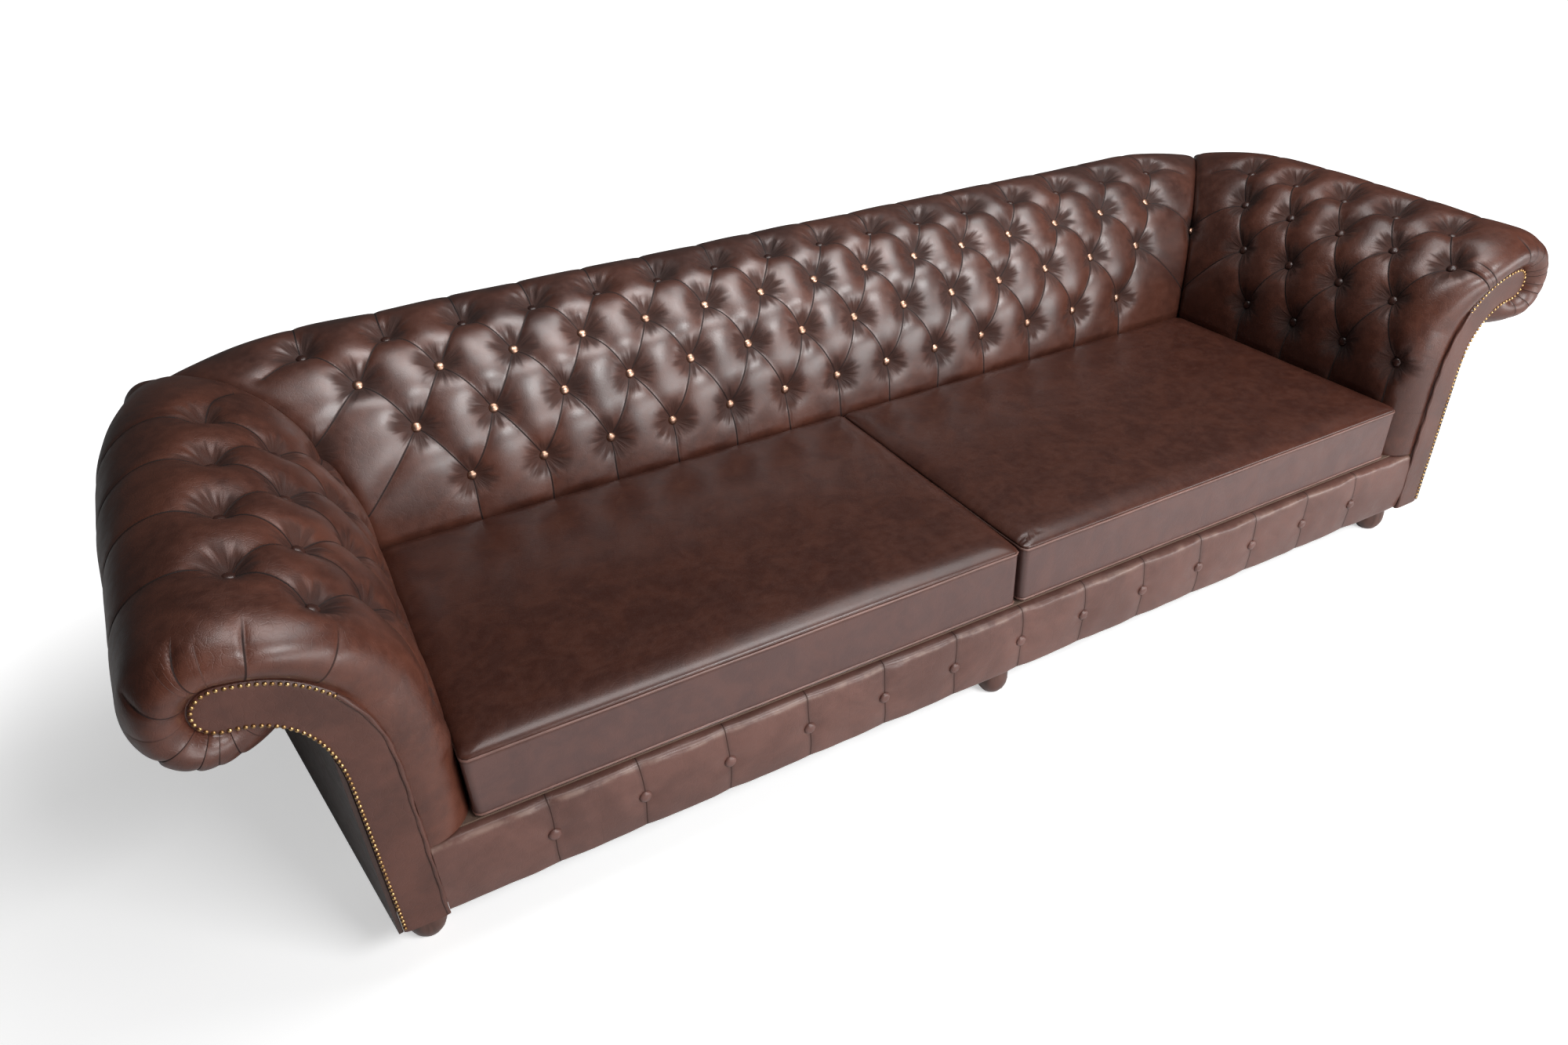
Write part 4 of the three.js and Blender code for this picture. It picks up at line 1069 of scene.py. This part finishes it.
# %% Helpers for turned and copied pieces
def turned_piece(name, profile, sides):
    bpy.ops.object.select_all(action="DESELECT")
    first_radius, first_height = profile[0]
    bpy.ops.mesh.primitive_circle_add(
        vertices=sides, radius=first_radius * MM, fill_type="NGON", location=(0, 0, first_height * MM))
    piece = bpy.context.object
    piece.name = name
    bpy.ops.object.transform_apply(location=True)
    bpy.ops.object.mode_set(mode="EDIT")
    bpy.ops.mesh.select_all(action="SELECT")
    last_radius, last_height = first_radius, first_height
    for radius, height in profile[1:]:
        rise = (0, 0, (height - last_height) * MM)
        bpy.ops.mesh.extrude_region_move(TRANSFORM_OT_translate={"value": rise})
        grow = radius / last_radius
        bpy.ops.transform.resize(value=(grow, grow, 1), center_override=(0, 0, height * MM))
        last_radius, last_height = radius, height
    outward_and_smooth(50)
    return piece


def joined_copies(pattern, places, name):
    bpy.ops.object.select_all(action="DESELECT")
    for count, place in enumerate(places):
        copy = bpy.data.objects.new(f"{name}_{count}", pattern.data.copy())
        scene.collection.objects.link(copy)
        copy.data.transform(place)
        copy.select_set(True)
        bpy.context.view_layer.objects.active = copy
    bpy.ops.object.join()
    piece = bpy.context.object
    piece.name = name
    return piece


def facing_out(spot, normal, spin=0.0):
    turn = Vector(normal).to_track_quat("Z", "Y").to_matrix().to_4x4()
    return Matrix.Translation(Vector(spot) * MM) @ turn @ Matrix.Rotation(spin, 4, "Z")


print("lathe and copier ready")

# %% [markdown]
# Every diamond is held by a button. One button is turned like a flat mushroom: a disc whose rim is drawn in
# below and whose top is a dome. It is copied to each place of the plan, at the bottom of its hollow, facing
# out of the leather. On the back the lower three rows are copper coloured. All other buttons are covered in
# a hide darker than the pad's.

# %% Tufting buttons
button_profile = [
    (6.5, -4), (9.6, -1.6), (10.6, 0.2), (10.2, 1.8), (8.6, 3.6), (5.8, 4.9), (2.8, 5.5), (0.6, 5.7)]


def button_spots(plan, seed, to_world, rows):
    spots = []
    for bp, bq, row in plan["buttons"]:
        if row not in rows:
            continue
        p, q = np.array([[bp]]), np.array([[bq]])
        sink, _ = relief_of(plan, p, q, seed)
        t = t_at(q)
        taper = roll_taper(p, t) if plan is not back_plan else 0.0
        u, z, nu, nz = (float(value[0, 0]) for value in skin_point(t, full_offset(t) + taper - sink))
        lift = 3.8 if row < LAST_ROW else 1.5
        spots.append(to_world(bp, u + lift * nu, z + lift * nz, nu, nz))
    return spots


def on_back(p, u, z, nu, nz):
    return facing_out((p, SEAT_DEPTH + u + front_mm, z), (0, nu, nz), p)


def add_buttons(name, places, material, slot):
    declare(joined_copies(button, places, name), material, slot, "sofa_frame")
    print(name, len(places))


button = turned_piece("button_pattern", button_profile, 20)
lower_spots = button_spots(back_plan, BACK_SEED, on_back, (0, 1, 2))
roll_spots = button_spots(back_plan, BACK_SEED, on_back, (LAST_ROW,))
add_buttons("back_copper_buttons", lower_spots, copper, "nail_brass")
add_buttons("back_roll_buttons", roll_spots, dark_leather, "tufted_leather")
for side, name in SIDES:
    def on_arm(p, u, z, nu, nz, side=side):
        return facing_out((side * (SEAT_HALF + u), p + front_mm, z), (side * nu, 0, nz), p)
    spots = button_spots(arm_plans[name], ARM_SEEDS[name], on_arm, range(LAST_ROW + 1))[:-1]
    add_buttons(f"{name}_arm_buttons", spots, dark_leather, "tufted_leather")
bpy.data.objects.remove(button)

# %% [markdown]
# The panel on the front of each arm is a thin board under leather, in the outline of the scroll. It is laid
# out as a grid: columns run across the scroll and rows follow its middle line. The last rows close in like
# the end of a tongue. The front swells a little and its edge is rounded, where the leather turns round the
# board. A filled and bevelled curve would do for a flat board, but a grid can also carry the leather's slow
# waves.

# %% Scroll facings
FACING_HALF, FACING_FRONT, FACING_BACK, FOOT_HEIGHT = 37.2, -5.8, 1.7, 105.0
FACING_EDGE = 3.4


def facing_points(across, along_rows, tip_rows):
    stem = np.linspace(FOOT_HEIGHT - SCROLL_START, 0, 26)[:-1]
    t = np.concatenate([stem, np.linspace(0, HOOK_LENGTH, along_rows)])
    u = np.empty((len(across), len(t) + tip_rows))
    z, edge = u.copy(), u.copy()
    for k, value in enumerate(t):
        u[:, k], z[:, k], _, _ = skin_point(np.full(len(across), value), FACING_HALF * across)
        edge[:, k] = FACING_HALF * (1 - np.abs(across))
    centre_u, centre_z, nu, nz = (float(value[0]) for value in middle_line(np.array([HOOK_LENGTH])))
    for k in range(tip_rows):
        turn = math.pi / 2 * (k + 1) / tip_rows
        side, ahead = FACING_HALF * across * math.cos(turn), FACING_HALF * math.sin(turn)
        u[:, len(t) + k] = centre_u + side * nu + ahead * nz
        z[:, len(t) + k] = centre_z + side * nz - ahead * nu
        edge[:, len(t) + k] = FACING_HALF - np.hypot(side, ahead)
    return u, z, edge


def add_facing(side, name):
    across = np.sin(np.linspace(-math.pi / 2, math.pi / 2, 21))
    u, z, edge = facing_points(across, 56, 14)
    piece, column, row = grid_object(f"{name}_scroll_facing", *u.shape)
    swell = 3.6 * (1 - np.exp(-edge / 4.0)) + 0.5 * np.sin(z / 31 + u / 23)
    y = FACING_FRONT + FACING_EDGE - swell
    places = np.stack([side * (SEAT_HALF + u), y + front_mm, z], axis=-1)[column, row]
    move_points(piece, places)
    weld_and_pick_rim(2e-5)
    depth = FACING_BACK - FACING_FRONT - FACING_EDGE
    bpy.ops.mesh.extrude_region_move(TRANSFORM_OT_translate={"value": (0, depth * MM, 0)})
    bpy.ops.mesh.edge_face_add()
    outward_and_smooth(55)
    declare(piece, panel_leather, "panel_leather", "sofa_frame", f"{name}_arm_facing")
    print(piece.name, len(piece.data.polygons), "faces")


for side, name in SIDES:
    add_facing(side, name)

# %% [markdown]
# A welt is a strip of hide folded round a cord and sewn into the seam. Here it closes the seat side of the
# facing. It is a thin tube that follows the outline, with a slight twist in its thickness as a hand-sewn
# one has. A curve with a round bevel makes a tube in one step, but always an even one.

# %% Tubes along a path
def tube_piece(name, points, radius, sides, wobble=0.0, closed=False):
    points = np.asarray(points, dtype=float)
    count = len(points)
    piece, column, row = grid_object(name, count + closed, sides + 1)
    if closed:
        tangent = np.roll(points, -1, axis=0) - np.roll(points, 1, axis=0)
    else:
        tangent = np.gradient(points, axis=0)
    tangent /= np.linalg.norm(tangent, axis=1)[:, None]
    normal = np.zeros_like(points)
    guide = np.array([0.0, -1.0, 0.0]) if abs(tangent[0][1]) < 0.9 else np.array([0.0, 0.0, 1.0])
    for k in range(count):
        guide = guide - tangent[k] * np.dot(guide, tangent[k])
        guide /= np.linalg.norm(guide)
        normal[k] = guide
    binormal = np.cross(tangent, normal)
    run = lengths_along(*points.T)
    at, turn = column % count, row * 2 * math.pi / sides
    thick = radius * (1 + wobble * np.sin(run[at] / 9 + 2 * turn) + 0.6 * wobble * np.sin(run[at] / 23))
    places = points[at] + thick[:, None] * (
        np.cos(turn)[:, None] * normal[at] + np.sin(turn)[:, None] * binormal[at])
    move_points(piece, places)
    close_skin(piece)
    return piece


def add_welt(side, name):
    t = np.linspace(FOOT_HEIGHT + 4 - SCROLL_START, 0.56 * HOOK_LENGTH, 150)
    u, z, _, _ = skin_point(t, np.full(t.shape, FACING_HALF - 2.6))
    u = u + 0.5 * np.sin(t / 17)
    y = np.full(t.shape, FACING_FRONT + 1.2)
    points = np.stack([side * (SEAT_HALF + u), y + front_mm, z], axis=1)
    piece = tube_piece(f"{name}_facing_welt", points, 3.6, 12, 0.14)
    declare(piece, panel_leather, "panel_leather", "sofa_frame")


for side, name in SIDES:
    add_welt(side, name)

# %% [markdown]
# Brass nails follow the outer edge of each facing, round the tongue, and part of the way down on the seat
# side. One domed head is turned with few faces, because almost two hundred are needed. An array along a
# curve would space them with a machine's evenness. Here each stands up to half a millimetre off its place,
# as if hammered by eye.

# %% Nails
NAIL_PITCH, NAIL_INSET = 9.3, 3.6


def nail_path():
    offset = FACING_HALF - NAIL_INSET
    low = np.linspace(FOOT_HEIGHT + 5 - SCROLL_START, HOOK_LENGTH, 260)
    outer_u, outer_z, _, _ = skin_point(low, np.full(low.shape, -offset))
    hook_u, hook_z, nu, nz = (float(value[0]) for value in middle_line(np.array([HOOK_LENGTH])))
    start = math.atan2(-nz, -nu)
    turn = start + np.linspace(0, math.pi, 60)[1:-1]
    back_t = np.linspace(HOOK_LENGTH, 0.52 * HOOK_LENGTH, 90)
    inner_u, inner_z, _, _ = skin_point(back_t, np.full(back_t.shape, offset))
    u = np.concatenate([outer_u, hook_u + offset * np.cos(turn), inner_u])
    z = np.concatenate([outer_z, hook_z + offset * np.sin(turn), inner_z])
    return u, z


def even_places(u, z, pitch):
    run = lengths_along(u, z)
    count = int(run[-1] // pitch)
    at = (np.arange(count) + 0.5) * run[-1] / count
    jitter = np.random.default_rng(5).uniform(-0.5, 0.5, count)
    return np.interp(at + jitter, run, u), np.interp(at + jitter, run, z)


nail_profile = [(2.6, -1.2), (3.3, 0.0), (2.9, 1.2), (1.8, 2.1), (0.5, 2.4)]
nail = turned_piece("nail_pattern", nail_profile, 9)
for side, name in SIDES:
    u, z = even_places(*nail_path(), NAIL_PITCH)
    heads = [facing_out((side * (SEAT_HALF + a), FACING_FRONT + 0.6 + front_mm, b), (0, -1, 0), a + b)
             for a, b in zip(u, z)]
    nails = joined_copies(nail, heads, f"{name}_brass_nails")
    declare(nails, brass, "nail_brass", "sofa_frame", f"{name}_nail_trim")
    print(nails.name, len(heads))
bpy.data.objects.remove(nail)

# %% [markdown]
# The front rail is padded thinly and covered in one long strip. Thirteen covered buttons pull it in, and at
# each a narrow fold runs from the top edge to the bottom. The cover is a grid that goes once round the
# rail's section, so that the folds and hollows are sums of simple shapes, as on the pads.

# %% Front rail cover
RAIL_REACH, RAIL_LOW, RAIL_HIGH, RAIL_BACK = 1160.8, 105.0, 255.0, 19.6
LOW_ROUND, HIGH_ROUND = 7, 8
RAIL_BUTTON_PITCH = 162.0
BUTTON_X = [(k - 6) * RAIL_BUTTON_PITCH for k in range(13)]
BUTTON_Z = 180.0


def rail_section():
    face = np.linspace(RAIL_LOW + LOW_ROUND, RAIL_HIGH - HIGH_ROUND, 28)
    low_turn = np.linspace(-math.pi / 2, 0, 5)[:-1]
    high_turn = np.linspace(0, math.pi / 2, 6)[1:]
    y = np.concatenate([[RAIL_BACK], LOW_ROUND - LOW_ROUND * np.cos(low_turn), 0 * face,
                        HIGH_ROUND - HIGH_ROUND * np.cos(high_turn), [14, RAIL_BACK]])
    z = np.concatenate([[RAIL_LOW], RAIL_LOW + LOW_ROUND + LOW_ROUND * np.sin(low_turn), face,
                        RAIL_HIGH - HIGH_ROUND + HIGH_ROUND * np.sin(high_turn), [RAIL_HIGH, RAIL_HIGH]])
    return np.append(y, y[0]), np.append(z, z[0])


def rail_relief(x, z):
    dimple, fold = np.zeros_like(x), np.zeros_like(x)
    seam = np.full(x.shape, 500.0)
    for k, bx in enumerate(BUTTON_X):
        r = np.hypot(x - bx, z - BUTTON_Z)
        dimple = np.maximum(dimple, 7.0 * np.exp(-(r / 24) ** 1.5))
        line = bx + 1.6 * np.sin((z - BUTTON_Z) / 24 + k) - 1.6 * math.sin(k)
        d = x - line
        fold = np.maximum(fold, 1.5 * np.exp(-np.abs(d) / 3.5) + 3.6 * np.exp(-(d / 26) ** 2))
        seam = np.where(np.abs(d) < np.abs(seam), d, seam)
    rise = unit(np.abs(z - BUTTON_Z) / 75)
    swell = 6.4 * (1 - rise ** 2.4)
    waves = 0.7 * np.sin(x / 41 + z / 29) + 0.5 * np.sin(x / 17 - z / 23) + 0.35 * np.sin(x / 9.3 + z / 13)
    return np.maximum(dimple, fold * (1 - 0.3 * rise)) - swell + 0.6 * waves, seam


section_y, section_z = rail_section()
rail_x = np.linspace(-RAIL_REACH, RAIL_REACH, 389)
rail, column, row = grid_object("front_rail_upholstery", len(rail_x), len(section_y))
x, y, z = rail_x[column], section_y[row], section_z[row]
sink, seam = rail_relief(x, z)
front_share = unit(1 - y / 14)
edge_wave = 0.9 * np.sin(x / 37) + 0.7 * np.sin(x / 13.7 + 1) + 0.5 * np.sin(x / 71 + 2)
lift = np.where(z > RAIL_HIGH - 9, -1.6 + edge_wave, 0) * front_share
move_points(rail, np.stack([x, y + sink * front_share + front_mm - 0.04, z + lift], axis=1))
worn = np.exp(-((z - RAIL_HIGH + 4) / 4.5) ** 2) * front_share
mark_points(rail, "rail_mark", [seam, worn, 0 * worn])
close_skin(rail)
declare(rail, rail_leather, "rail_leather", "sofa_frame", "front_rail_cover")

# %% [markdown]
# The buttons of the rail are covered in its own hide, in a tone a little paler than the rail's, and are a
# little larger and rounder than those of the tufting. Each stays a piece of its own, as in the imported
# model, so that one can be taken off. Joined, they would be one lighter object, but no single button could be
# replaced.

# %% Rail buttons
cover_profile = [
    (7.5, -3), (10.4, -0.6), (11.4, 1.6), (11.0, 3.6), (9.2, 5.6), (6.2, 6.8), (3.0, 7.4), (0.7, 7.5)]
for count, bx in enumerate(BUTTON_X, 1):
    sink, _ = rail_relief(np.array([bx]), np.array([BUTTON_Z]))
    rail_button = turned_piece(f"covered_rail_button_{count:02d}", cover_profile, 24)
    rail_button.data.transform(facing_out((bx, float(sink[0]) - 0.4 + front_mm, BUTTON_Z), (0, -1, 0)))
    declare(rail_button, rail_button_leather, "rail_leather", "sofa_frame", f"rail_button_{count:02d}")
print("rail buttons", len(BUTTON_X))

# %% [markdown]
# Each seat cushion is a box cushion: a top and a bottom panel, a border between them, and a thin piping in
# both seams. The filling is firm. It rolls the top panel over to a seam that lies a little below the top,
# the top is gently crowned, and the borders pull in slightly. A box is cut into a grid, and each vertex is
# moved to the place that it has on such a cushion. A cloth simulation under pressure blows a box cushion up
# like a pillow, and a firm one keeps its edges. First comes the cutting: a ring of cuts across all edges
# that run along one axis.

# %% Cutting a box
CUSHION_LEAST = np.array([0.9, 17.0, 258.6])
CUSHION_MOST = np.array([1082.8, 689.0, SEAT_TOP])


def cut_box(name, cuts):
    bpy.ops.object.select_all(action="DESELECT")
    bpy.ops.mesh.primitive_cube_add(size=2)
    piece = bpy.context.object
    piece.name = name
    for axis, count in enumerate(cuts):
        mesh = piece.data
        bpy.ops.object.mode_set(mode="EDIT")
        bpy.ops.mesh.select_mode(type="EDGE")
        bpy.ops.mesh.select_all(action="DESELECT")
        bpy.ops.object.mode_set(mode="OBJECT")
        for edge in mesh.edges:
            first, second = (mesh.vertices[k].co for k in edge.vertices)
            edge.select = abs(first[axis] - second[axis]) > 1.5
        bpy.ops.object.mode_set(mode="EDIT")
        bpy.ops.mesh.subdivide_edgering(number_cuts=count, interpolation="LINEAR", smoothness=0)
        bpy.ops.object.mode_set(mode="OBJECT")
    return piece


print("a cushion measures", CUSHION_MOST - CUSHION_LEAST, "mm")

# %% [markdown]
# The shape is worked out from each vertex's share of the box, from -1 to 1 on all three axes. The panels
# roll over in quarter circles, the corners are rounded in plan, and a groove lies at each seam for the
# piping. At the split between the cushions the front corner is pulled in, where it has been sat on most.

# %% Cushion shape
TOP_ROLL, TOP_DROP, LOW_ROLL, LOW_DROP, CORNER = 58.0, 16.0, 7.0, 6.0, 14.0
SPLIT_PULL = 4.6


def quarter(distance, reach, drop):
    left = 1 - unit(distance / reach)
    return drop * np.sqrt(unit(1 - left ** 2))


def arch(value):
    return unit(1 - value ** 2)


def rounded_plan(place, half, edge):
    radius = (CORNER + 0.5 * np.minimum(edge, TOP_ROLL)) * np.clip(1 - (edge - TOP_ROLL) / 90, 0.001, 1)
    limit = half - edge[:, None] - radius[:, None]
    inner = np.clip(place, -np.maximum(limit, 0), np.maximum(limit, 0))
    away = place - inner
    length = np.maximum(np.linalg.norm(away, axis=1), 1e-9)
    turned = inner + away / length[:, None] * radius[:, None]
    return np.where((edge < TOP_ROLL + 89)[:, None], turned, place)


def split_pull(x, y, half, inner_side):
    near = unit(inner_side * x / half[0])
    return inner_side * SPLIT_PULL * near ** 8 * np.exp(-(y + half[1]) / 110)


def cushion_skin(share, half, seed, inner_side):
    spread = np.sign(share[:, :2]) * (1 - (1 - np.abs(share[:, :2])) ** 1.8)
    plan = spread * half[:2]
    edge = np.minimum(half[0] - np.abs(plan[:, 0]), half[1] - np.abs(plan[:, 1]))
    sx, sy = spread.T
    rise = 0.5 * (1 - np.cos(math.pi * (share[:, 2] + 1) / 2))
    high, low = half[2] - TOP_DROP, -half[2] + LOW_DROP
    z = low + rise * (high - low)
    on_top, below = share[:, 2] > 0.999, share[:, 2] < -0.999
    crown = 7 * (arch(sx) * arch(sy)) ** 0.6
    waves = 1.3 * slow_waves(plan[:, 0] * 0.6, plan[:, 1] * 0.6, seed) * (arch(sx) * arch(sy)) ** 0.3
    rolled = high + quarter(edge, TOP_ROLL, TOP_DROP) + crown + waves * unit(edge / 40)
    z = np.where(on_top, rolled, z)
    z = np.where(below, low - quarter(edge, LOW_ROLL, LOW_DROP), z)
    skin = np.concatenate([rounded_plan(plan, half[:2], edge), z[:, None]], axis=1)
    groove = 2.2 * (np.exp(-((z - high) / 1.6) ** 2) + np.exp(-((z - low) / 1.6) ** 2)) * (edge < TOP_ROLL)
    border = np.sin(math.pi * rise) * ~(on_top | below)
    ripple = 0.5 * np.sin(plan[:, 0] / 23 + seed) + 0.35 * np.sin(plan[:, 0] / 9.7 + z / 21)
    at_side, at_end = np.abs(sx) > 0.9999, np.abs(sy) > 0.9999
    skin[:, 0] -= np.sign(sx) * (np.where(at_side, 4.0 * border * arch(sy), 0) + groove * (at_side | on_top))
    skin[:, 1] -= np.sign(sy) * (np.where(at_end, (1.6 + ripple) * border * arch(sx) ** 0.3, 0)
                                 + groove * (at_end | on_top) * (half[1] - np.abs(plan[:, 1]) < 6))
    skin[:, 0] -= split_pull(plan[:, 0], plan[:, 1], half, inner_side)
    return skin


print("the top seam lies", TOP_DROP, "mm below the edge")

# %% [markdown]
# Where the two cushions meet at the front, the right one has been pressed and slid by people getting up.
# Its hide has three short fine wrinkles there, side by side, that run out along the edge. Each is a narrow
# groove taken from the height of the top. A random wave is too smooth for them, and a bump would look flat
# along the edge.

# %% Wrinkles at the split
WRINKLE_STARTS = (15.0, 20.0, 25.0)
WRINKLE_DEPTH, WRINKLE_WIDTH = 2.2, 1.7


def pinch(skin, half, inner_side):
    away = half[0] - inner_side * skin[:, 0]
    to_front = skin[:, 1] + half[1]
    fade = unit(1 - away / 85) * unit(away / 6) * unit((skin[:, 2] - half[2] + 14) / 5)
    return fade * sum(
        WRINKLE_DEPTH * np.exp(-(((to_front - start - 0.12 * away) / WRINKLE_WIDTH) ** 2))
        for start in WRINKLE_STARTS)


print("wrinkles:", len(WRINKLE_STARTS))

# %% [markdown]
# A piping is a bead of hide in the seam between panel and border. Its path is a rectangle with round
# corners, just under the edge, pulled in at the split exactly as the cushion is. The tube helper from the
# welts lays it. The cushion and its two pipings ride on the same body, so they lift out together.

# %% Cushions with their piping
def seam_loop(half, level, inner_side):
    a, b = half[0], half[1]
    turns = np.linspace(0, math.pi / 2, 7)
    loop = []
    for cx, cy, start in ((1, 1, 0), (-1, 1, 1), (-1, -1, 2), (1, -1, 3)):
        for turn in turns:
            angle = turn + start * math.pi / 2
            x, y = cx * (a - CORNER), cy * (b - CORNER)
            loop.append((x + CORNER * math.cos(angle), y + CORNER * math.sin(angle)))
    loop = np.array(loop + loop[:1])
    run = lengths_along(*loop.T)
    at = np.linspace(0, run[-1], 401)[:-1]
    x, y = np.interp(at, run, loop[:, 0]), np.interp(at, run, loop[:, 1])
    z = np.full(x.shape, half[2] - TOP_DROP - 1.6 if level > 0 else LOW_DROP + 1.2 - half[2])
    x = np.clip(x, -(a - 1.0), a - 1.0)
    y = np.clip(y, -(b - 1.0), b - 1.0)
    x = x - split_pull(x, y, half, inner_side)
    return np.stack([x, y, z + 0.4 * np.sin(at / 47)], axis=1)


def add_cushion(side, name):
    piece = cut_box(f"{name}_seat_cushion_leather", (150, 90, 16))
    half = (CUSHION_MOST - CUSHION_LEAST) / 2
    centre = (CUSHION_LEAST + CUSHION_MOST) / 2 * (side, 1, 1) + (0, front_mm, 0)
    skin = cushion_skin(points_of(piece), half, 31 + side, -side)
    if side > 0:
        skin[:, 2] -= pinch(skin, half, -side)
    move_points(piece, skin + centre)
    bpy.ops.object.shade_smooth_by_angle(angle=math.radians(70))
    # The border mark carries the painted sheen of the border to the shader.
    border = unit((half[2] - TOP_DROP - 3 - skin[:, 2]) / 6)
    mark_points(piece, "border_mark", [border, 0 * border, 0 * border])
    declare(piece, cushion_leather, "cushion_leather", f"{name}_cushion", f"{name}_seat_cushion")
    print(piece.name, len(piece.data.polygons), "faces")
    for level, label in ((1, "top"), (-1, "bottom")):
        points = seam_loop(half, level, -side) + centre
        piping = tube_piece(f"{name}_cushion_{label}_piping", points, 2.2, 8, 0.06, closed=True)
        declare(piping, piping_leather, "cushion_leather", f"{name}_cushion")


for side, name in SIDES:
    add_cushion(side, name)

# %% [markdown]
# The feet are turned from one block: a wide collar under the rail, a neck, and a body that tapers to the
# floor. The lathe helper of the buttons makes them too, with more sides, because a foot is large enough to
# show its facets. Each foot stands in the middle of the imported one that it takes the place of.

# %% Feet
foot_profile = [
    (18.5, 0), (22, 1.5), (28, 10), (32, 20), (33.5, 29), (33.5, 46), (31, 56), (29, 65), (36, 71), (41, 75),
    (44, 82), (43, 89), (38, 95), (29, 98.7), (29, 105)]
for part in frame["record"]["subparts"]:
    node = part["node"]
    if not node.endswith("_foot"):
        continue
    low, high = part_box(node)
    foot = turned_piece(f"turned_{node}", foot_profile, 48)
    foot.data.transform(Matrix.Translation(((low[0] + high[0]) / 2, (low[1] + high[1]) / 2, 0)))
    declare(foot, stained_wood, "foot_wood", "sofa_frame", node)
print("feet turned from", len(foot_profile), "rings")

# %% [markdown]
# The outside of the arms and the back is closed with leather pulled flat over thin boards. The packed
# solids have the right outline already, so nothing is drawn again. Each is copied, its flat facets are
# merged, and its edges are rounded a little with a bevel, because hide never turns a sharp corner.

# %% Outside panels
SOFT_EDGE = 2.5


def dressed_panel(node, name):
    source = frame["nodes"][node]
    bpy.ops.object.select_all(action="DESELECT")
    piece = bpy.data.objects.new(name, source.data.copy())
    scene.collection.objects.link(piece)
    piece.select_set(True)
    bpy.context.view_layer.objects.active = piece
    bpy.ops.object.mode_set(mode="EDIT")
    bpy.ops.mesh.select_all(action="SELECT")
    bpy.ops.mesh.remove_doubles(threshold=1e-5)
    bpy.ops.mesh.dissolve_limited(angle_limit=math.radians(2))
    bpy.ops.object.mode_set(mode="OBJECT")
    bevel = piece.modifiers.new("soft_edge", "BEVEL")
    bevel.width, bevel.segments, bevel.angle_limit = SOFT_EDGE * MM, 3, math.radians(40)
    bpy.ops.object.modifier_apply(modifier=bevel.name)
    bpy.ops.object.shade_smooth_by_angle(angle=math.radians(40))
    # The outside panels get the leather whose dark tone is painted shade.
    declare(piece, outside_leather_painted_shade, "panel_leather", "sofa_frame", node)
    print(name, len(piece.data.polygons), "faces")


for side in ("right", "left"):
    dressed_panel(f"{side}_outside_arm_panel", f"{side}_outside_leather_painted_shade")
dressed_panel("outside_back_panel", "back_outside_leather_painted_shade")
